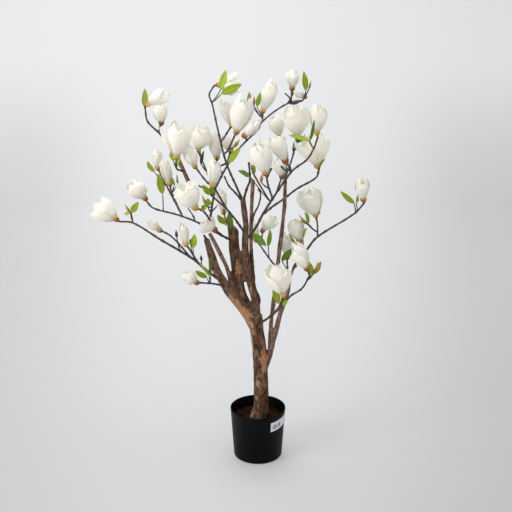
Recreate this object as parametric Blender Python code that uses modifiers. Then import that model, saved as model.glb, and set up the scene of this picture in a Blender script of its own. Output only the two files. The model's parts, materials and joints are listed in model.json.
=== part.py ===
"""An artificial magnolia in a plain nursery pot, 1.2 m tall.

A forked trunk of real wood stands in a filled pot. Cut poles and thin wired stems
rise from it, and closed and half-open blossoms sit on stalks along them.
"""

import math
from dataclasses import dataclass

import bmesh
import bpy
from mathutils import Vector, geometry, noise

MM = 0.001
GAP = 0.3 * MM
OBJECT_NAME = "magnolia"

# Pot and fill, millimetres
RIM_RADIUS = 85.5
FOOT_RADIUS = 75.0
POT_HEIGHT = 162.0
WALL = 2.6
FOOT_ROUNDING = 5.0
FILL_LEVEL = 128.0
FILL_RELIEF = 4.0
SEAT_RADIUS = 30.0
POT_STEPS = 28

# Trunk, millimetres
TRUNK_STOPS = ((10, 0, 210), (8, 0, 295), (4, 0, 360), (-5, 0, 440), (-7, 0, 468))
TRUNK_THICK = (47, 42)
FOOT_BEND = (1, 9)
ROOT_FLARE = 3.0
FLARE_HEIGHT = 25.0
FOOT_FLATNESS = 4.0

# Stalk and blossom, millimetres
STALK_THICK = 3.2
CALYX_THICK = 9.0
TIP_THICK = 5.0
PETAL_RELIEF = 0.07

# Points along a limb lie about this far apart, millimetres
WOOD_STEP = 42.0
STEM_STEP = 33.0
STALK_STEP = 34.0
BLOSSOM_RINGS = 5
WELD = 1e-6


@dataclass(frozen=True)
class Limb:
    """A tapering limb that starts on its parent's centreline; sizes in millimetres.

    along is the foot's place on the parent, from 0 at its foot to 1 at its tip. The
    stops are (right, back, up) from the middle of the pot's underside.
    """

    name: str
    parent: str
    along: float
    thick: tuple
    stops: tuple


@dataclass(frozen=True)
class Blossom:
    """One blossom on its stalk, which bends once where bend is given.

    Two blossoms with the same name share a foot and make one solid. The calyx and the
    tip are (right, back, up) places, like a limb's stops.
    """

    name: str
    limb: str
    along: float
    bend: tuple
    calyx: tuple
    tip: tuple
    width: float


WOODEN = (
    Limb("bough_left", "trunk", 0.88, (38, 19),
         ((-45, -10, 495), (-75, -20, 535), (-120, -40, 620), (-150, -55, 725))),
    Limb("bough_centre", "trunk", 0.94, (33, 33),
         ((-43, 0, 515), (-57, 2, 556), (-63, 6, 605), (-70, 10, 670), (-75, 15, 745))),
    Limb("pole_centre", "trunk", 0.94, (28, 16),
         ((-7, -5, 510), (-18, -5, 558), (-31, -10, 630), (-38, -14, 690), (-36, -15, 755),
          (-45, -15, 835))),
    Limb("bough_right", "trunk", 0.40, (21, 12),
         ((31, 0, 322), (50, 8, 397), (70, 15, 475), (90, 20, 535), (95, 20, 580))),
    Limb("pole_left_back", "bough_left", 0.37, (14, 13),
         ((-90, 0, 610), (-120, 20, 670), (-145, 35, 715))),
    Limb("pole_slim_centre", "pole_centre", 0.24, (13, 11.5),
         ((-15, 10, 590), (-20, 25, 665), (-20, 40, 755), (-15, 60, 875))),
    Limb("pole_slim_right", "bough_right", 0.25, (14, 12),
         ((39, 17, 424), (43, 24, 462), (50, 32, 520), (60, 35, 620), (78, 45, 790), (80, 50, 880))),
)

STEMS = (
    Limb("stem_lower_left", "bough_left", 0.55, (7.5, 4.8),
         ((-150, -50, 625), (-190, -60, 665), (-285, -60, 725), (-360, -50, 770), (-400, -45, 773))),
    Limb("stem_upper_left", "bough_centre", 0.84, (6.5, 4.5),
         ((-115, -40, 735), (-175, -10, 760), (-240, 25, 775), (-312, 45, 790), (-330, 50, 808))),
    Limb("stem_spray_left", "stem_upper_left", 0.24, (6, 5.5),
         ((-135, -62, 780), (-132, -75, 820), (-125, -75, 860))),
    Limb("stem_inner_left", "pole_centre", 0.72, (6, 5),
         ((-65, -50, 780), (-90, -75, 820), (-120, -110, 885))),
    Limb("stem_fork_left", "stem_inner_left", 0.60, (5, 4.6),
         ((-130, -55, 850), (-155, -40, 870), (-200, -20, 884))),
    Limb("pole_upper_left", "stem_fork_left", 1.0, (14, 12),
         ((-218, 0, 920), (-237, 20, 955))),
    Limb("stem_top_left", "pole_upper_left", 0.96, (6.5, 4.2),
         ((-262, 12, 995), (-285, 0, 1025), (-313, -12, 1058), (-318, -20, 1098))),
    Limb("stem_top_centre", "pole_centre", 0.98, (6, 4.2),
         ((-60, -20, 865), (-92, -10, 940), (-118, 22, 1040), (-132, 42, 1100), (-140, 46, 1125),
          (-126, 50, 1150))),
    Limb("stem_cross_centre", "stem_inner_left", 1.0, (5.6, 4.6),
         ((-100, -75, 920), (-80, -50, 950), (-50, -40, 990), (0, -20, 1035))),
    Limb("stem_top_right", "stem_cross_centre", 1.0, (4.6, 4.4),
         ((12, 0, 1055), (60, 50, 1085), (95, 75, 1100))),
    Limb("stem_upper_right", "pole_centre", 0.67, (7, 4.6),
         ((-10, -30, 745), (15, -55, 800), (65, -55, 880), (100, -25, 920), (140, 0, 945),
          (160, 10, 975), (172, 20, 1008))),
    Limb("stem_right", "stem_upper_right", 0.28, (6.2, 5),
         ((45, 10, 805), (80, 90, 808), (120, 125, 830), (178, 152, 858), (186, 160, 880))),
    Limb("stem_cluster", "pole_slim_right", 0.49, (5.4, 4.4),
         ((25, 75, 637), (5, 135, 650))),
    Limb("stem_lower_right", "trunk", 0.90, (7, 4.4),
         ((30, -45, 475), (60, -90, 520), (95, -125, 575), (125, -140, 602), (146, -150, 645))),
    Limb("stem_far_right", "bough_right", 1.0, (7, 4.4),
         ((112, 25, 620), (145, 25, 665), (175, 10, 710), (280, -20, 790), (308, -20, 822))),
)

BLOSSOMS = (
    Blossom("blossom_far_left", "stem_lower_left", 1.0, None, (-408, -52, 782), (-464, -26, 819), 64),
    Blossom("blossom_low_bud", "stem_lower_left", 0.36, (-250, -40, 725), (-290, 0, 735),
            (-320, 0, 760), 32),
    Blossom("blossom_low_front", "stem_lower_left", 0.28, (-190, -85, 690), (-205, -110, 725),
            (-215, -110, 785), 30),
    Blossom("blossom_lowest_left", "bough_left", 0.50, (-125, -88, 597), (-175, -140, 620),
            (-210, -140, 645), 40),
    Blossom("blossom_upper_left", "stem_upper_left", 1.0, None, (-335, 50, 818), (-380, 50, 865), 50),
    Blossom("blossoms_left_back", "stem_upper_left", 0.63, (-258, 75, 830), (-265, 100, 850),
            (-285, 100, 930), 36),
    Blossom("blossoms_left_back", "stem_upper_left", 0.63, (-275, 110, 840), (-310, 190, 880),
            (-310, 190, 935), 30),
    Blossom("blossom_inner_low", "stem_upper_left", 0.18, None, (-125, -62, 755),
            (-160, -62, 780), 42),
    Blossom("blossom_left_front", "stem_spray_left", 0.30, (-150, -150, 830), (-170, -200, 855),
            (-210, -200, 915), 60),
    Blossom("blossom_open_left", "pole_upper_left", 0.40, (-232, -45, 930), (-230, -60, 965),
            (-225, -60, 1055), 64),
    Blossom("blossom_top_left", "stem_top_left", 1.0, None, (-310, -20, 1108), (-255, -20, 1140), 36),
    Blossom("blossom_top_left_low", "stem_top_left", 0.50, None, (-280, 40, 1045),
            (-280, 40, 1100), 44),
    Blossom("blossom_inner_left", "stem_inner_left", 1.0, None, (-125, -125, 902),
            (-120, -125, 966), 40),
    Blossom("blossoms_crown_left", "stem_inner_left", 1.0, (-150, -80, 905), (-180, -40, 935),
            (-200, -40, 990), 42),
    Blossom("blossoms_crown_left", "stem_inner_left", 1.0, (-150, 0, 915), (-180, 100, 955),
            (-160, 100, 1020), 56),
    Blossom("blossoms_centre_back", "stem_top_centre", 0.34, (-120, 70, 912), (-123, 110, 928),
            (-128, 110, 1000), 40),
    Blossom("blossoms_centre_back", "stem_top_centre", 0.34, (-90, 90, 925), (-83, 150, 940),
            (-98, 150, 985), 32),
    Blossom("blossom_top_centre", "stem_top_centre", 1.0, None, (-113, 58, 1152), (-52, 60, 1148), 46),
    Blossom("blossom_centre_front", "stem_top_centre", 0.42, (-85, -60, 985), (-60, -110, 1045),
            (-35, -110, 1135), 60),
    Blossom("blossom_centre_high", "stem_top_centre", 0.52, (-95, 60, 1005), (-77, 90, 1030),
            (-97, 90, 1100), 42),
    Blossom("blossom_cross", "stem_cross_centre", 0.80, None, (-38, -48, 1024), (5, -48, 1062), 30),
    Blossom("blossom_back_top", "stem_top_right", 0.20, None, (14, 60, 1076), (44, 60, 1160), 42),
    Blossom("blossoms_top_right", "stem_top_right", 1.0, None, (100, 110, 1135), (100, 110, 1190), 40),
    Blossom("blossoms_top_right", "stem_top_right", 1.0, (130, 115, 1098), (138, 146, 1105),
            (110, 150, 1117), 26),
    Blossom("blossoms_right_back", "pole_slim_right", 1.0, (88, 160, 935), (67, 240, 972),
            (47, 240, 1028), 44),
    Blossom("blossoms_right_back", "pole_slim_right", 1.0, (105, 130, 930), (121, 200, 976),
            (116, 200, 1068), 74),
    Blossom("blossom_upper_right", "stem_upper_right", 1.0, None, (170, 25, 1020), (175, 25, 1095), 50),
    Blossom("blossom_open_right", "stem_right", 1.0, None, (181, 160, 892), (165, 160, 985), 80),
    Blossom("blossom_right_front", "stem_upper_right", 0.57, (92, -75, 928), (75, -138, 970),
            (45, -138, 1040), 44),
    Blossom("blossom_right_inner", "stem_upper_right", 0.47, None, (68, -28, 902), (60, -25, 955), 36),
    Blossom("blossom_middle_front", "stem_upper_right", 0.42, (28, -150, 903), (20, -200, 950),
            (0, -200, 1035), 62),
    Blossom("blossom_middle_back", "bough_centre", 0.97, (-95, 60, 750), (-105, 110, 760),
            (-115, 110, 832), 32),
    Blossom("blossoms_cluster", "stem_cluster", 1.0, (12, 170, 660), (15, 200, 676),
            (50, 200, 724), 42),
    Blossom("blossoms_cluster", "stem_cluster", 1.0, None, (-5, 165, 655), (-20, 172, 715), 30),
    Blossom("blossom_lower_front", "stem_lower_right", 0.34, (63, -160, 560), (70, -200, 605),
            (40, -200, 690), 66),
    Blossom("blossom_lower_right", "stem_lower_right", 1.0, None, (136, -160, 668),
            (105, -160, 735), 50),
    Blossom("blossom_right_mid", "stem_far_right", 0.28, None, (125, 50, 687), (105, 50, 750), 46),
    Blossom("blossom_right_low_back", "bough_right", 1.0, (90, 80, 600), (90, 110, 616),
            (85, 110, 690), 32),
    Blossom("blossom_wide_right", "stem_far_right", 0.47, (180, 85, 728), (176, 110, 750),
            (150, 110, 830), 70),
    Blossom("blossom_far_right", "stem_far_right", 1.0, None, (305, -20, 832), (297, -20, 890), 42),
)

FINISHES = {
    "pot": ((0.012, 0.012, 0.013, 1.0), 0.35),
    "fill": ((0.060, 0.028, 0.012, 1.0), 0.95),
    "wood": ((0.130, 0.085, 0.055, 1.0), 0.85),
    "stem": ((0.040, 0.028, 0.020, 1.0), 0.60),
    "blossom": ((0.840, 0.820, 0.740, 1.0), 0.70),
}


def clear_scene():
    """Removes every object that the scene starts with."""
    for obj in list(bpy.data.objects):
        bpy.data.objects.remove(obj, do_unlink=True)


def make_collection(name):
    """A new collection in the scene."""
    collection = bpy.data.collections.new(name)
    bpy.context.scene.collection.children.link(collection)
    return collection


def make_finishes():
    """One Principled material for each kind of surface."""
    made = {}
    for name, (colour, roughness) in FINISHES.items():
        material = bpy.data.materials.new(name)
        material.use_nodes = True
        shader = material.node_tree.nodes["Principled BSDF"]
        shader.inputs["Base Color"].default_value = colour
        shader.inputs["Roughness"].default_value = roughness
        shader.inputs["Metallic"].default_value = 0.0
        made[name] = material
    return made


def smooth_path(places, step):
    """Points about a step apart on the smooth curve through the places, in metres."""
    knots = [Vector(place) * MM for place in places]
    dense = [knots[0]]
    for index in range(len(knots) - 1):
        start = knots[index]
        end = knots[index + 1]
        before = knots[max(index - 1, 0)]
        after = knots[min(index + 2, len(knots) - 1)]
        reach = (end - start).length / 3
        leave = start + (end - before).normalized() * reach
        arrive = end - (after - start).normalized() * reach
        dense += geometry.interpolate_bezier(start, leave, arrive, end, 12)[1:]
    return respaced(dense, step * MM)


def running_length(points):
    """The length of the path up to each of its points."""
    lengths = [0.0]
    for near, far in zip(points, points[1:]):
        lengths.append(lengths[-1] + (far - near).length)
    return lengths


def respaced(points, step):
    """The same path with evenly spaced points, at least three of them."""
    lengths = running_length(points)
    count = max(2, round(lengths[-1] / step))
    return [point_along(points, lengths, index / count) for index in range(count + 1)]


def point_along(points, lengths, share):
    """The point at this share of the path's length."""
    target = share * lengths[-1]
    for index in range(len(points) - 1):
        if lengths[index + 1] >= target:
            span = lengths[index + 1] - lengths[index]
            return points[index].lerp(points[index + 1], (target - lengths[index]) / span)
    return points[-1].copy()


def place_on(paths, limb, along):
    """The centreline place on a limb, in millimetres, at this share of its length."""
    points = paths[limb]
    return tuple(point_along(points, running_length(points), along) / MM)


def tube_mesh(path, radii, sides, grow):
    """A closed round tube along the path, with its own radius at each point."""
    ends = [path[0] - (path[1] - path[0]).normalized() * grow]
    ends.append(path[-1] + (path[-1] - path[-2]).normalized() * grow)
    route = [ends[0], *path[1:-1], ends[1]]
    curve = bpy.data.curves.new("tube", "CURVE")
    curve.dimensions = "3D"
    curve.bevel_depth = 1.0
    curve.bevel_resolution = sides // 2 - 2
    curve.use_fill_caps = True
    spline = curve.splines.new("POLY")
    spline.points.add(len(route) - 1)
    for point, place, radius in zip(spline.points, route, radii):
        point.co = (*place, 1.0)
        point.radius = radius + grow
    holder = bpy.data.objects.new("tube", curve)
    bpy.context.scene.collection.objects.link(holder)
    mesh = evaluated_mesh(holder)
    bpy.data.objects.remove(holder)
    shape = bmesh.new()
    shape.from_mesh(mesh)
    bmesh.ops.remove_doubles(shape, verts=shape.verts, dist=WELD)
    bmesh.ops.recalc_face_normals(shape, faces=shape.faces)
    shape.to_mesh(mesh)
    shape.free()
    return mesh


def evaluated_mesh(obj):
    """A new mesh of the object as its modifiers leave it."""
    graph = bpy.context.evaluated_depsgraph_get()
    return bpy.data.meshes.new_from_object(obj.evaluated_get(graph))


def limb_mesh(limb, path, sides, grow):
    """A limb that tapers evenly from foot to tip."""
    foot, tip = (thick / 2 * MM for thick in limb.thick)
    last = len(path) - 1
    radii = [foot + (tip - foot) * index / last for index in range(last + 1)]
    return tube_mesh(path, radii, sides, grow)


def trunk_mesh(path, grow):
    """The trunk, with its root flare just over the fill."""
    foot, tip = (thick / 2 * MM for thick in TRUNK_THICK)
    last = len(path) - 1
    radii = []
    for index, place in enumerate(path):
        height = (place - path[0]).length / MM
        flare = ROOT_FLARE * MM * math.exp(-height / FLARE_HEIGHT)
        radii.append(foot + (tip - foot) * index / last + flare)
    mesh = tube_mesh(path, radii, 12, grow)
    for vertex in mesh.vertices:
        if vertex.co.z < path[0].z + FOOT_FLATNESS * MM:
            vertex.co.z = path[0].z - grow
    return mesh


def bud_profile(share):
    """The blossom's half width at a share of its length, 1 at its widest."""
    return math.sin(math.pi * share**0.75) ** 0.75 if 0 < share < 1 else 0.0


def blossom_mesh(blossom, foot, grow):
    """A stalk from the limb, the calyx, and the petals as one lobed closed form."""
    bends = (blossom.bend,) if blossom.bend else ()
    stalk = smooth_path((foot, *bends, blossom.calyx), STALK_STEP)
    calyx = Vector(blossom.calyx) * MM
    tip = Vector(blossom.tip) * MM
    path = list(stalk)
    radii = [STALK_THICK / 2 * MM] * len(stalk)
    radii[-1] = CALYX_THICK / 2 * MM
    for index in range(1, BLOSSOM_RINGS + 1):
        share = index / BLOSSOM_RINGS
        path.append(calyx.lerp(tip, share))
        wide = blossom.width / 2 * bud_profile(share)
        radii.append(max(wide, TIP_THICK / 2) * MM)
    mesh = tube_mesh(path, radii, 8, grow)
    for vertex in mesh.vertices:
        share = (vertex.co - calyx).dot(tip - calyx) / (tip - calyx).length_squared
        if 0.1 < share < 0.95:
            axis = calyx.lerp(tip, share)
            swell = noise.noise(vertex.co / (blossom.width * MM))
            vertex.co = axis + (vertex.co - axis) * (1 + PETAL_RELIEF * swell)
    return mesh


def turned_mesh(name, profile):
    """A closed turned solid from a profile that starts and ends on the axis."""
    mesh = bpy.data.meshes.new(name)
    points = [(radius * MM, 0.0, height * MM) for radius, height in profile]
    mesh.from_pydata(points, [(index, index + 1) for index in range(len(points) - 1)], [])
    holder = bpy.data.objects.new(name, mesh)
    bpy.context.scene.collection.objects.link(holder)
    screw = holder.modifiers.new("turn", "SCREW")
    screw.steps = POT_STEPS
    screw.render_steps = POT_STEPS
    screw.use_merge_vertices = True
    screw.merge_threshold = WELD
    turned = evaluated_mesh(holder)
    bpy.data.objects.remove(holder)
    return turned


def wall_radius(height):
    """The pot's outer radius at a height above its underside."""
    return FOOT_RADIUS + (RIM_RADIUS - FOOT_RADIUS) * height / POT_HEIGHT


def pot_mesh():
    """The thin open pot, with a rounded foot and a rounded rim."""
    inner_floor = WALL
    arc = [(FOOT_ROUNDING * (1 - math.cos(angle)), FOOT_ROUNDING * (1 - math.sin(angle)))
           for angle in (0.0, math.pi / 4, math.pi / 2)]
    outside = [(wall_radius(up) - inset, up) for inset, up in arc]
    profile = [
        (0.0, inner_floor),
        (wall_radius(inner_floor) - WALL - 2.0, inner_floor),
        (wall_radius(inner_floor + 4) - WALL, inner_floor + 4),
        (RIM_RADIUS - WALL, POT_HEIGHT - 0.8),
        (RIM_RADIUS - WALL / 2, POT_HEIGHT),
        (RIM_RADIUS, POT_HEIGHT - 0.8),
        *outside,
        (0.0, 0.0),
    ]
    return turned_mesh("pot", profile)


def fill_mesh():
    """The set fill: it fits the pot, rough on top and flat where the trunk stands."""
    clearance = WALL + GAP / MM + 0.5
    bottom = WALL + GAP / MM
    edge = wall_radius(FILL_LEVEL) - clearance
    profile = [
        (0.0, FILL_LEVEL),
        (SEAT_RADIUS, FILL_LEVEL),
        (edge - 14, FILL_LEVEL),
        (edge, FILL_LEVEL),
        (wall_radius(bottom + 4) - clearance, bottom + 4),
        (wall_radius(bottom) - clearance - 3, bottom),
        (0.0, bottom),
    ]
    mesh = turned_mesh("fill", profile)
    for vertex in mesh.vertices:
        outward = Vector((vertex.co.x, vertex.co.y)).length / MM
        if vertex.co.z > (FILL_LEVEL - 1) * MM and outward > SEAT_RADIUS + 1:
            vertex.co.z += noise.noise(vertex.co * 60) * FILL_RELIEF * MM
    return mesh


def box_of(mesh):
    """The lowest and highest corner of a mesh."""
    lows = Vector(min(v.co[axis] for v in mesh.vertices) for axis in range(3))
    highs = Vector(max(v.co[axis] for v in mesh.vertices) for axis in range(3))
    return lows, highs


def boxes_meet(first, second):
    """Whether two boxes share any space."""
    return all(first[0][axis] < second[1][axis] and second[0][axis] < first[1][axis]
               for axis in range(3))


def combined(mesh, others, operation):
    """The mesh after a Boolean with each of the others in turn.

    The exact solver loses a bough whose foot lies in the trunk's own plane, and the
    solver for closed meshes keeps it.
    """
    holder = bpy.data.objects.new("work", mesh)
    bpy.context.scene.collection.objects.link(holder)
    helpers = []
    for other in others:
        helper = bpy.data.objects.new("helper", other)
        bpy.context.scene.collection.objects.link(helper)
        helpers.append(helper)
        boolean = holder.modifiers.new("combine", "BOOLEAN")
        boolean.operation = operation
        boolean.solver = "MANIFOLD"
        boolean.object = helper
    result = evaluated_mesh(holder)
    for obj in (holder, *helpers):
        bpy.data.objects.remove(obj)
    return result


def keep_island(mesh, place):
    """Drops every loose bit but the one with a point nearest to the place."""
    shape = bmesh.new()
    shape.from_mesh(mesh)
    bmesh.ops.remove_doubles(shape, verts=shape.verts, dist=WELD)
    nearest = min(shape.verts, key=lambda vertex: (vertex.co - place).length)
    island = {nearest}
    front = [nearest]
    while front:
        vertex = front.pop()
        for edge in vertex.link_edges:
            other = edge.other_vert(vertex)
            if other not in island:
                island.add(other)
                front.append(other)
    loose = [vertex for vertex in shape.verts if vertex not in island]
    bmesh.ops.delete(shape, geom=loose, context="VERTS")
    bmesh.ops.dissolve_degenerate(shape, edges=shape.edges, dist=WELD)
    shape.to_mesh(mesh)
    shape.free()


class Assembly:
    """Adds the sub-parts in order, each cut clear of those already there."""

    def __init__(self):
        """Starts the empty collections and the finishes."""
        self.parts = make_collection(OBJECT_NAME)
        self.finishes = make_finishes()
        self.cutters = []

    def add(self, name, mesh, grown, finish, place):
        """Cuts the mesh clear of its neighbours and adds it as a named object."""
        box = box_of(mesh)
        near = [cutter for cutter, extent in self.cutters if boxes_meet(box, extent)]
        if near:
            mesh = combined(mesh, near, "DIFFERENCE")
            keep_island(mesh, place)
        mesh.name = name
        mesh.materials.clear()
        mesh.materials.append(self.finishes[finish])
        mesh.shade_smooth()
        mesh.set_sharp_from_angle(angle=math.radians(50))
        self.parts.objects.link(bpy.data.objects.new(name, mesh))
        self.cutters += [(cutter, box_of(cutter)) for cutter in grown]


def add_pot_and_fill(assembly):
    """The pot and what it is filled with, which already clear each other."""
    assembly.add("pot", pot_mesh(), [], "pot", Vector())
    assembly.add("fill", fill_mesh(), [], "fill", Vector())


def add_wood(assembly, paths):
    """The trunk, the boughs and the cut poles."""
    foot = (FOOT_BEND[0], 0, FILL_LEVEL + GAP / MM)
    above = (FOOT_BEND[1], 0, FILL_LEVEL + FLARE_HEIGHT)
    paths["trunk"] = smooth_path((foot, above, *TRUNK_STOPS), WOOD_STEP)
    trunk = paths["trunk"]
    assembly.add("trunk", trunk_mesh(trunk, 0.0), [trunk_mesh(trunk, GAP)], "wood", trunk[0])
    for limb in WOODEN:
        add_limb(assembly, paths, limb, WOOD_STEP, 8, "wood")


def add_stems(assembly, paths):
    """The thin wired stems."""
    for limb in STEMS:
        add_limb(assembly, paths, limb, STEM_STEP, 6, "stem")


def add_limb(assembly, paths, limb, step, sides, finish):
    """One limb, from its parent's centreline to its tip."""
    foot = place_on(paths, limb.parent, limb.along)
    path = smooth_path((foot, *limb.stops), step)
    paths[limb.name] = path
    mesh = limb_mesh(limb, path, sides, 0.0)
    assembly.add(limb.name, mesh, [limb_mesh(limb, path, sides, GAP)], finish, path[-1])


def add_blossoms(assembly, paths):
    """Each blossom, or each pair that shares a foot, as one solid."""
    for name in dict.fromkeys(blossom.name for blossom in BLOSSOMS):
        members = [blossom for blossom in BLOSSOMS if blossom.name == name]
        feet = [place_on(paths, member.limb, member.along) for member in members]
        meshes = [blossom_mesh(member, foot, 0.0) for member, foot in zip(members, feet)]
        grown = [blossom_mesh(member, foot, GAP) for member, foot in zip(members, feet)]
        whole = combined(meshes[0], meshes[1:], "UNION") if len(meshes) > 1 else meshes[0]
        assembly.add(name, whole, grown, "blossom", Vector(members[0].tip) * MM)


def main():
    """Builds the whole tree."""
    clear_scene()
    assembly = Assembly()
    paths = {}
    add_pot_and_fill(assembly)
    add_wood(assembly, paths)
    add_stems(assembly, paths)
    add_blossoms(assembly, paths)


main()
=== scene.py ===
"""The looks of an artificial magnolia, 1.2 m tall, in a plain nursery pot.

A trunk of real wood with cut poles carries dark wired stems, silk blossoms and leaves.
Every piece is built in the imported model's own frame, in metres, with +Z up. Places are
given as (right, back, up) in millimetres from the middle of the pot's underside.
"""

import json
import logging
import math
import random
from collections.abc import Callable, Iterable, Sequence
from dataclasses import dataclass, field
from enum import Enum

import bmesh
import bpy
import numpy as np
from mathutils import Matrix, Vector, geometry, noise

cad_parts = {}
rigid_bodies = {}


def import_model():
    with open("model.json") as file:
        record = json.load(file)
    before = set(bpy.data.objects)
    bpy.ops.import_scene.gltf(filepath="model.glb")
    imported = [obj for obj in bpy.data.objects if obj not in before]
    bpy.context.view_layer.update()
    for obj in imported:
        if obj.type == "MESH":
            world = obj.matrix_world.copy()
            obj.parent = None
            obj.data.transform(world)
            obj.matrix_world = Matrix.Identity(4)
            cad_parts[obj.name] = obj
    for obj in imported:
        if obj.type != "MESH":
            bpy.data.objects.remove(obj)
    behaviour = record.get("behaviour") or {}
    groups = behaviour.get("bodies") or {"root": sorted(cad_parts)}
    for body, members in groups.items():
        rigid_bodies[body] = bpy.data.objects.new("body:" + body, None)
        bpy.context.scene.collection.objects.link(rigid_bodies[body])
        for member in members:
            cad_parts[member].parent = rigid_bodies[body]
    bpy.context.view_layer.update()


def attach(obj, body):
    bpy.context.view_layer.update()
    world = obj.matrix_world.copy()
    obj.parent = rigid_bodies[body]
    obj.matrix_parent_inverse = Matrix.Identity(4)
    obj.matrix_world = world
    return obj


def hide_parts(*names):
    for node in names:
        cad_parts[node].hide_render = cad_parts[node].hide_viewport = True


log = logging.getLogger("magnolia")

for leftover in list(bpy.data.objects):
    bpy.data.objects.remove(leftover, do_unlink=True)
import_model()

MM = 0.001
WELD = 1e-6
BODY = "root"
UV_MAP = "surface"

Place = tuple[float, float, float]
Colour = tuple[float, float, float]


def smoothstep(low: float, high: float, value: float) -> float:
    """A soft step from 0 at low to 1 at high.

    Args:
        low: Where the step starts.
        high: Where the step ends.
        value: The number to place on the step.

    Returns:
        The step's height, from 0 to 1.
    """
    share = min(1.0, max(0.0, (value - low) / (high - low)))
    return share * share * (3.0 - 2.0 * share)


def spot(place: Place) -> Vector:
    """The point of a (right, back, up) place in millimetres."""
    return Vector(place) * MM


def profile_of(outline: Iterable[tuple[float, float]]) -> list[Vector]:
    """The points of an (out, up) outline in millimetres, in the plane of X and Z."""
    return [Vector((out, 0.0, up)) * MM for out, up in outline]


def join(whole: bmesh.types.BMesh, part: bmesh.types.BMesh) -> None:
    """Adds one shape to another.

    Args:
        whole: The shape that grows.
        part: The shape that is added, and freed.
    """
    mesh = bpy.data.meshes.new("part")
    part.to_mesh(mesh)
    part.free()
    whole.from_mesh(mesh)
    bpy.data.meshes.remove(mesh)


def grid(across: int, along: int) -> bmesh.types.BMesh:
    """A flat grid from -1 to 1 with a UV map.

    Args:
        across: The number of faces along X.
        along: The number of faces along Y.

    Returns:
        A new shape.
    """
    shape = bmesh.new()
    shape.loops.layers.uv.new(UV_MAP)
    bmesh.ops.create_grid(shape, x_segments=across, y_segments=along, size=1.0, calc_uvs=True)
    return shape


def wrap(shape: bmesh.types.BMesh, where: Callable[[Vector], tuple[float, float]]) -> None:
    """Gives a shape a UV map.

    Args:
        shape: The shape.
        where: A point's place on the map; the second number is held from 0 to 1.
    """
    layer = shape.loops.layers.uv.new(UV_MAP)
    for face in shape.faces:
        for loop in face.loops:
            across, up = where(loop.vert.co)
            loop[layer].uv = (across, min(1.0, max(0.0, up)))


class Path:
    """A smooth centreline with evenly spaced points and a frame that doesn't twist."""

    fineness: int = 12
    shortest: float = 1e-9

    def __init__(self, places: Sequence[Place], step: float) -> None:
        """Runs a smooth curve through the places.

        Args:
            places: The places that the curve passes through, in millimetres.
            step: The distance between the path's points, in millimetres.
        """
        dense = self._curve([spot(place) for place in places])
        lengths = [0.0]
        for near, far in zip(dense, dense[1:]):
            lengths.append(lengths[-1] + (far - near).length)
        self.length = lengths[-1]
        count = max(2, round(self.length / (step * MM)))
        self.points = [self._at(dense, lengths, index / count) for index in range(count + 1)]
        self.frames = self._frames()

    def _curve(self, knots: list[Vector]) -> list[Vector]:
        """A smooth curve through the knots.

        Args:
            knots: The points that the curve passes through.

        Returns:
            The curve's dense points.
        """
        dense = [knots[0]]
        for index in range(len(knots) - 1):
            start, end = knots[index], knots[index + 1]
            before = knots[max(index - 1, 0)]
            after = knots[min(index + 2, len(knots) - 1)]
            reach = (end - start).length / 3
            leave = start + (end - before).normalized() * reach
            arrive = end - (after - start).normalized() * reach
            dense += geometry.interpolate_bezier(start, leave, arrive, end, self.fineness)[1:]
        return dense

    def _at(self, points: list[Vector], lengths: list[float], share: float) -> Vector:
        """A point of the dense curve.

        Args:
            points: The curve's dense points.
            lengths: The length of the curve as far as each point.
            share: The share of the curve's length, from 0 to 1.

        Returns:
            The point at that share.
        """
        target = share * lengths[-1]
        for index in range(len(points) - 1):
            if lengths[index + 1] >= target:
                span = max(lengths[index + 1] - lengths[index], self.shortest)
                return points[index].lerp(points[index + 1], (target - lengths[index]) / span)
        return points[-1].copy()

    def _frames(self) -> list[Matrix]:
        """Turns a frame along the path, as little as can be.

        Returns:
            One rotation for each point, its Z along the path.
        """
        ways = []
        last = len(self.points) - 1
        for index in range(last + 1):
            ahead = self.points[min(index + 1, last)] - self.points[max(index - 1, 0)]
            ways.append(ahead.normalized())
        turn = ways[0].to_track_quat("Z", "Y")
        frames = [turn.to_matrix()]
        for before, after in zip(ways, ways[1:]):
            turn = before.rotation_difference(after) @ turn
            frames.append(turn.to_matrix())
        return frames

    def place(self, along: float) -> Vector:
        """The place on the path at a share of it.

        Args:
            along: The share of the path, from 0 to 1.

        Returns:
            The point, in metres.
        """
        exact = along * (len(self.points) - 1)
        index = min(int(exact), len(self.points) - 2)
        return self.points[index].lerp(self.points[index + 1], exact - index)

    def way(self, along: float) -> Vector:
        """The direction of the path at this share of it."""
        index = round(along * (len(self.points) - 1))
        return self.frames[index].col[2].copy()


class Piece:
    """A mesh that is put together from several small shapes."""

    def __init__(self, name: str) -> None:
        """Starts an empty piece.

        Args:
            name: The piece's name.
        """
        self.name = name
        self.shape = bmesh.new()
        self.shape.loops.layers.uv.new(UV_MAP)

    def take(self, part: bmesh.types.BMesh) -> None:
        """Adds a shape to the piece, and frees the shape."""
        join(self.shape, part)

    def mesh(self) -> bpy.types.Mesh:
        """Turns the shape into a mesh of the piece's name, and frees the shape.

        Returns:
            The new mesh.
        """
        mesh = bpy.data.meshes.new(self.name)
        self.shape.to_mesh(mesh)
        self.shape.free()
        return mesh


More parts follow.
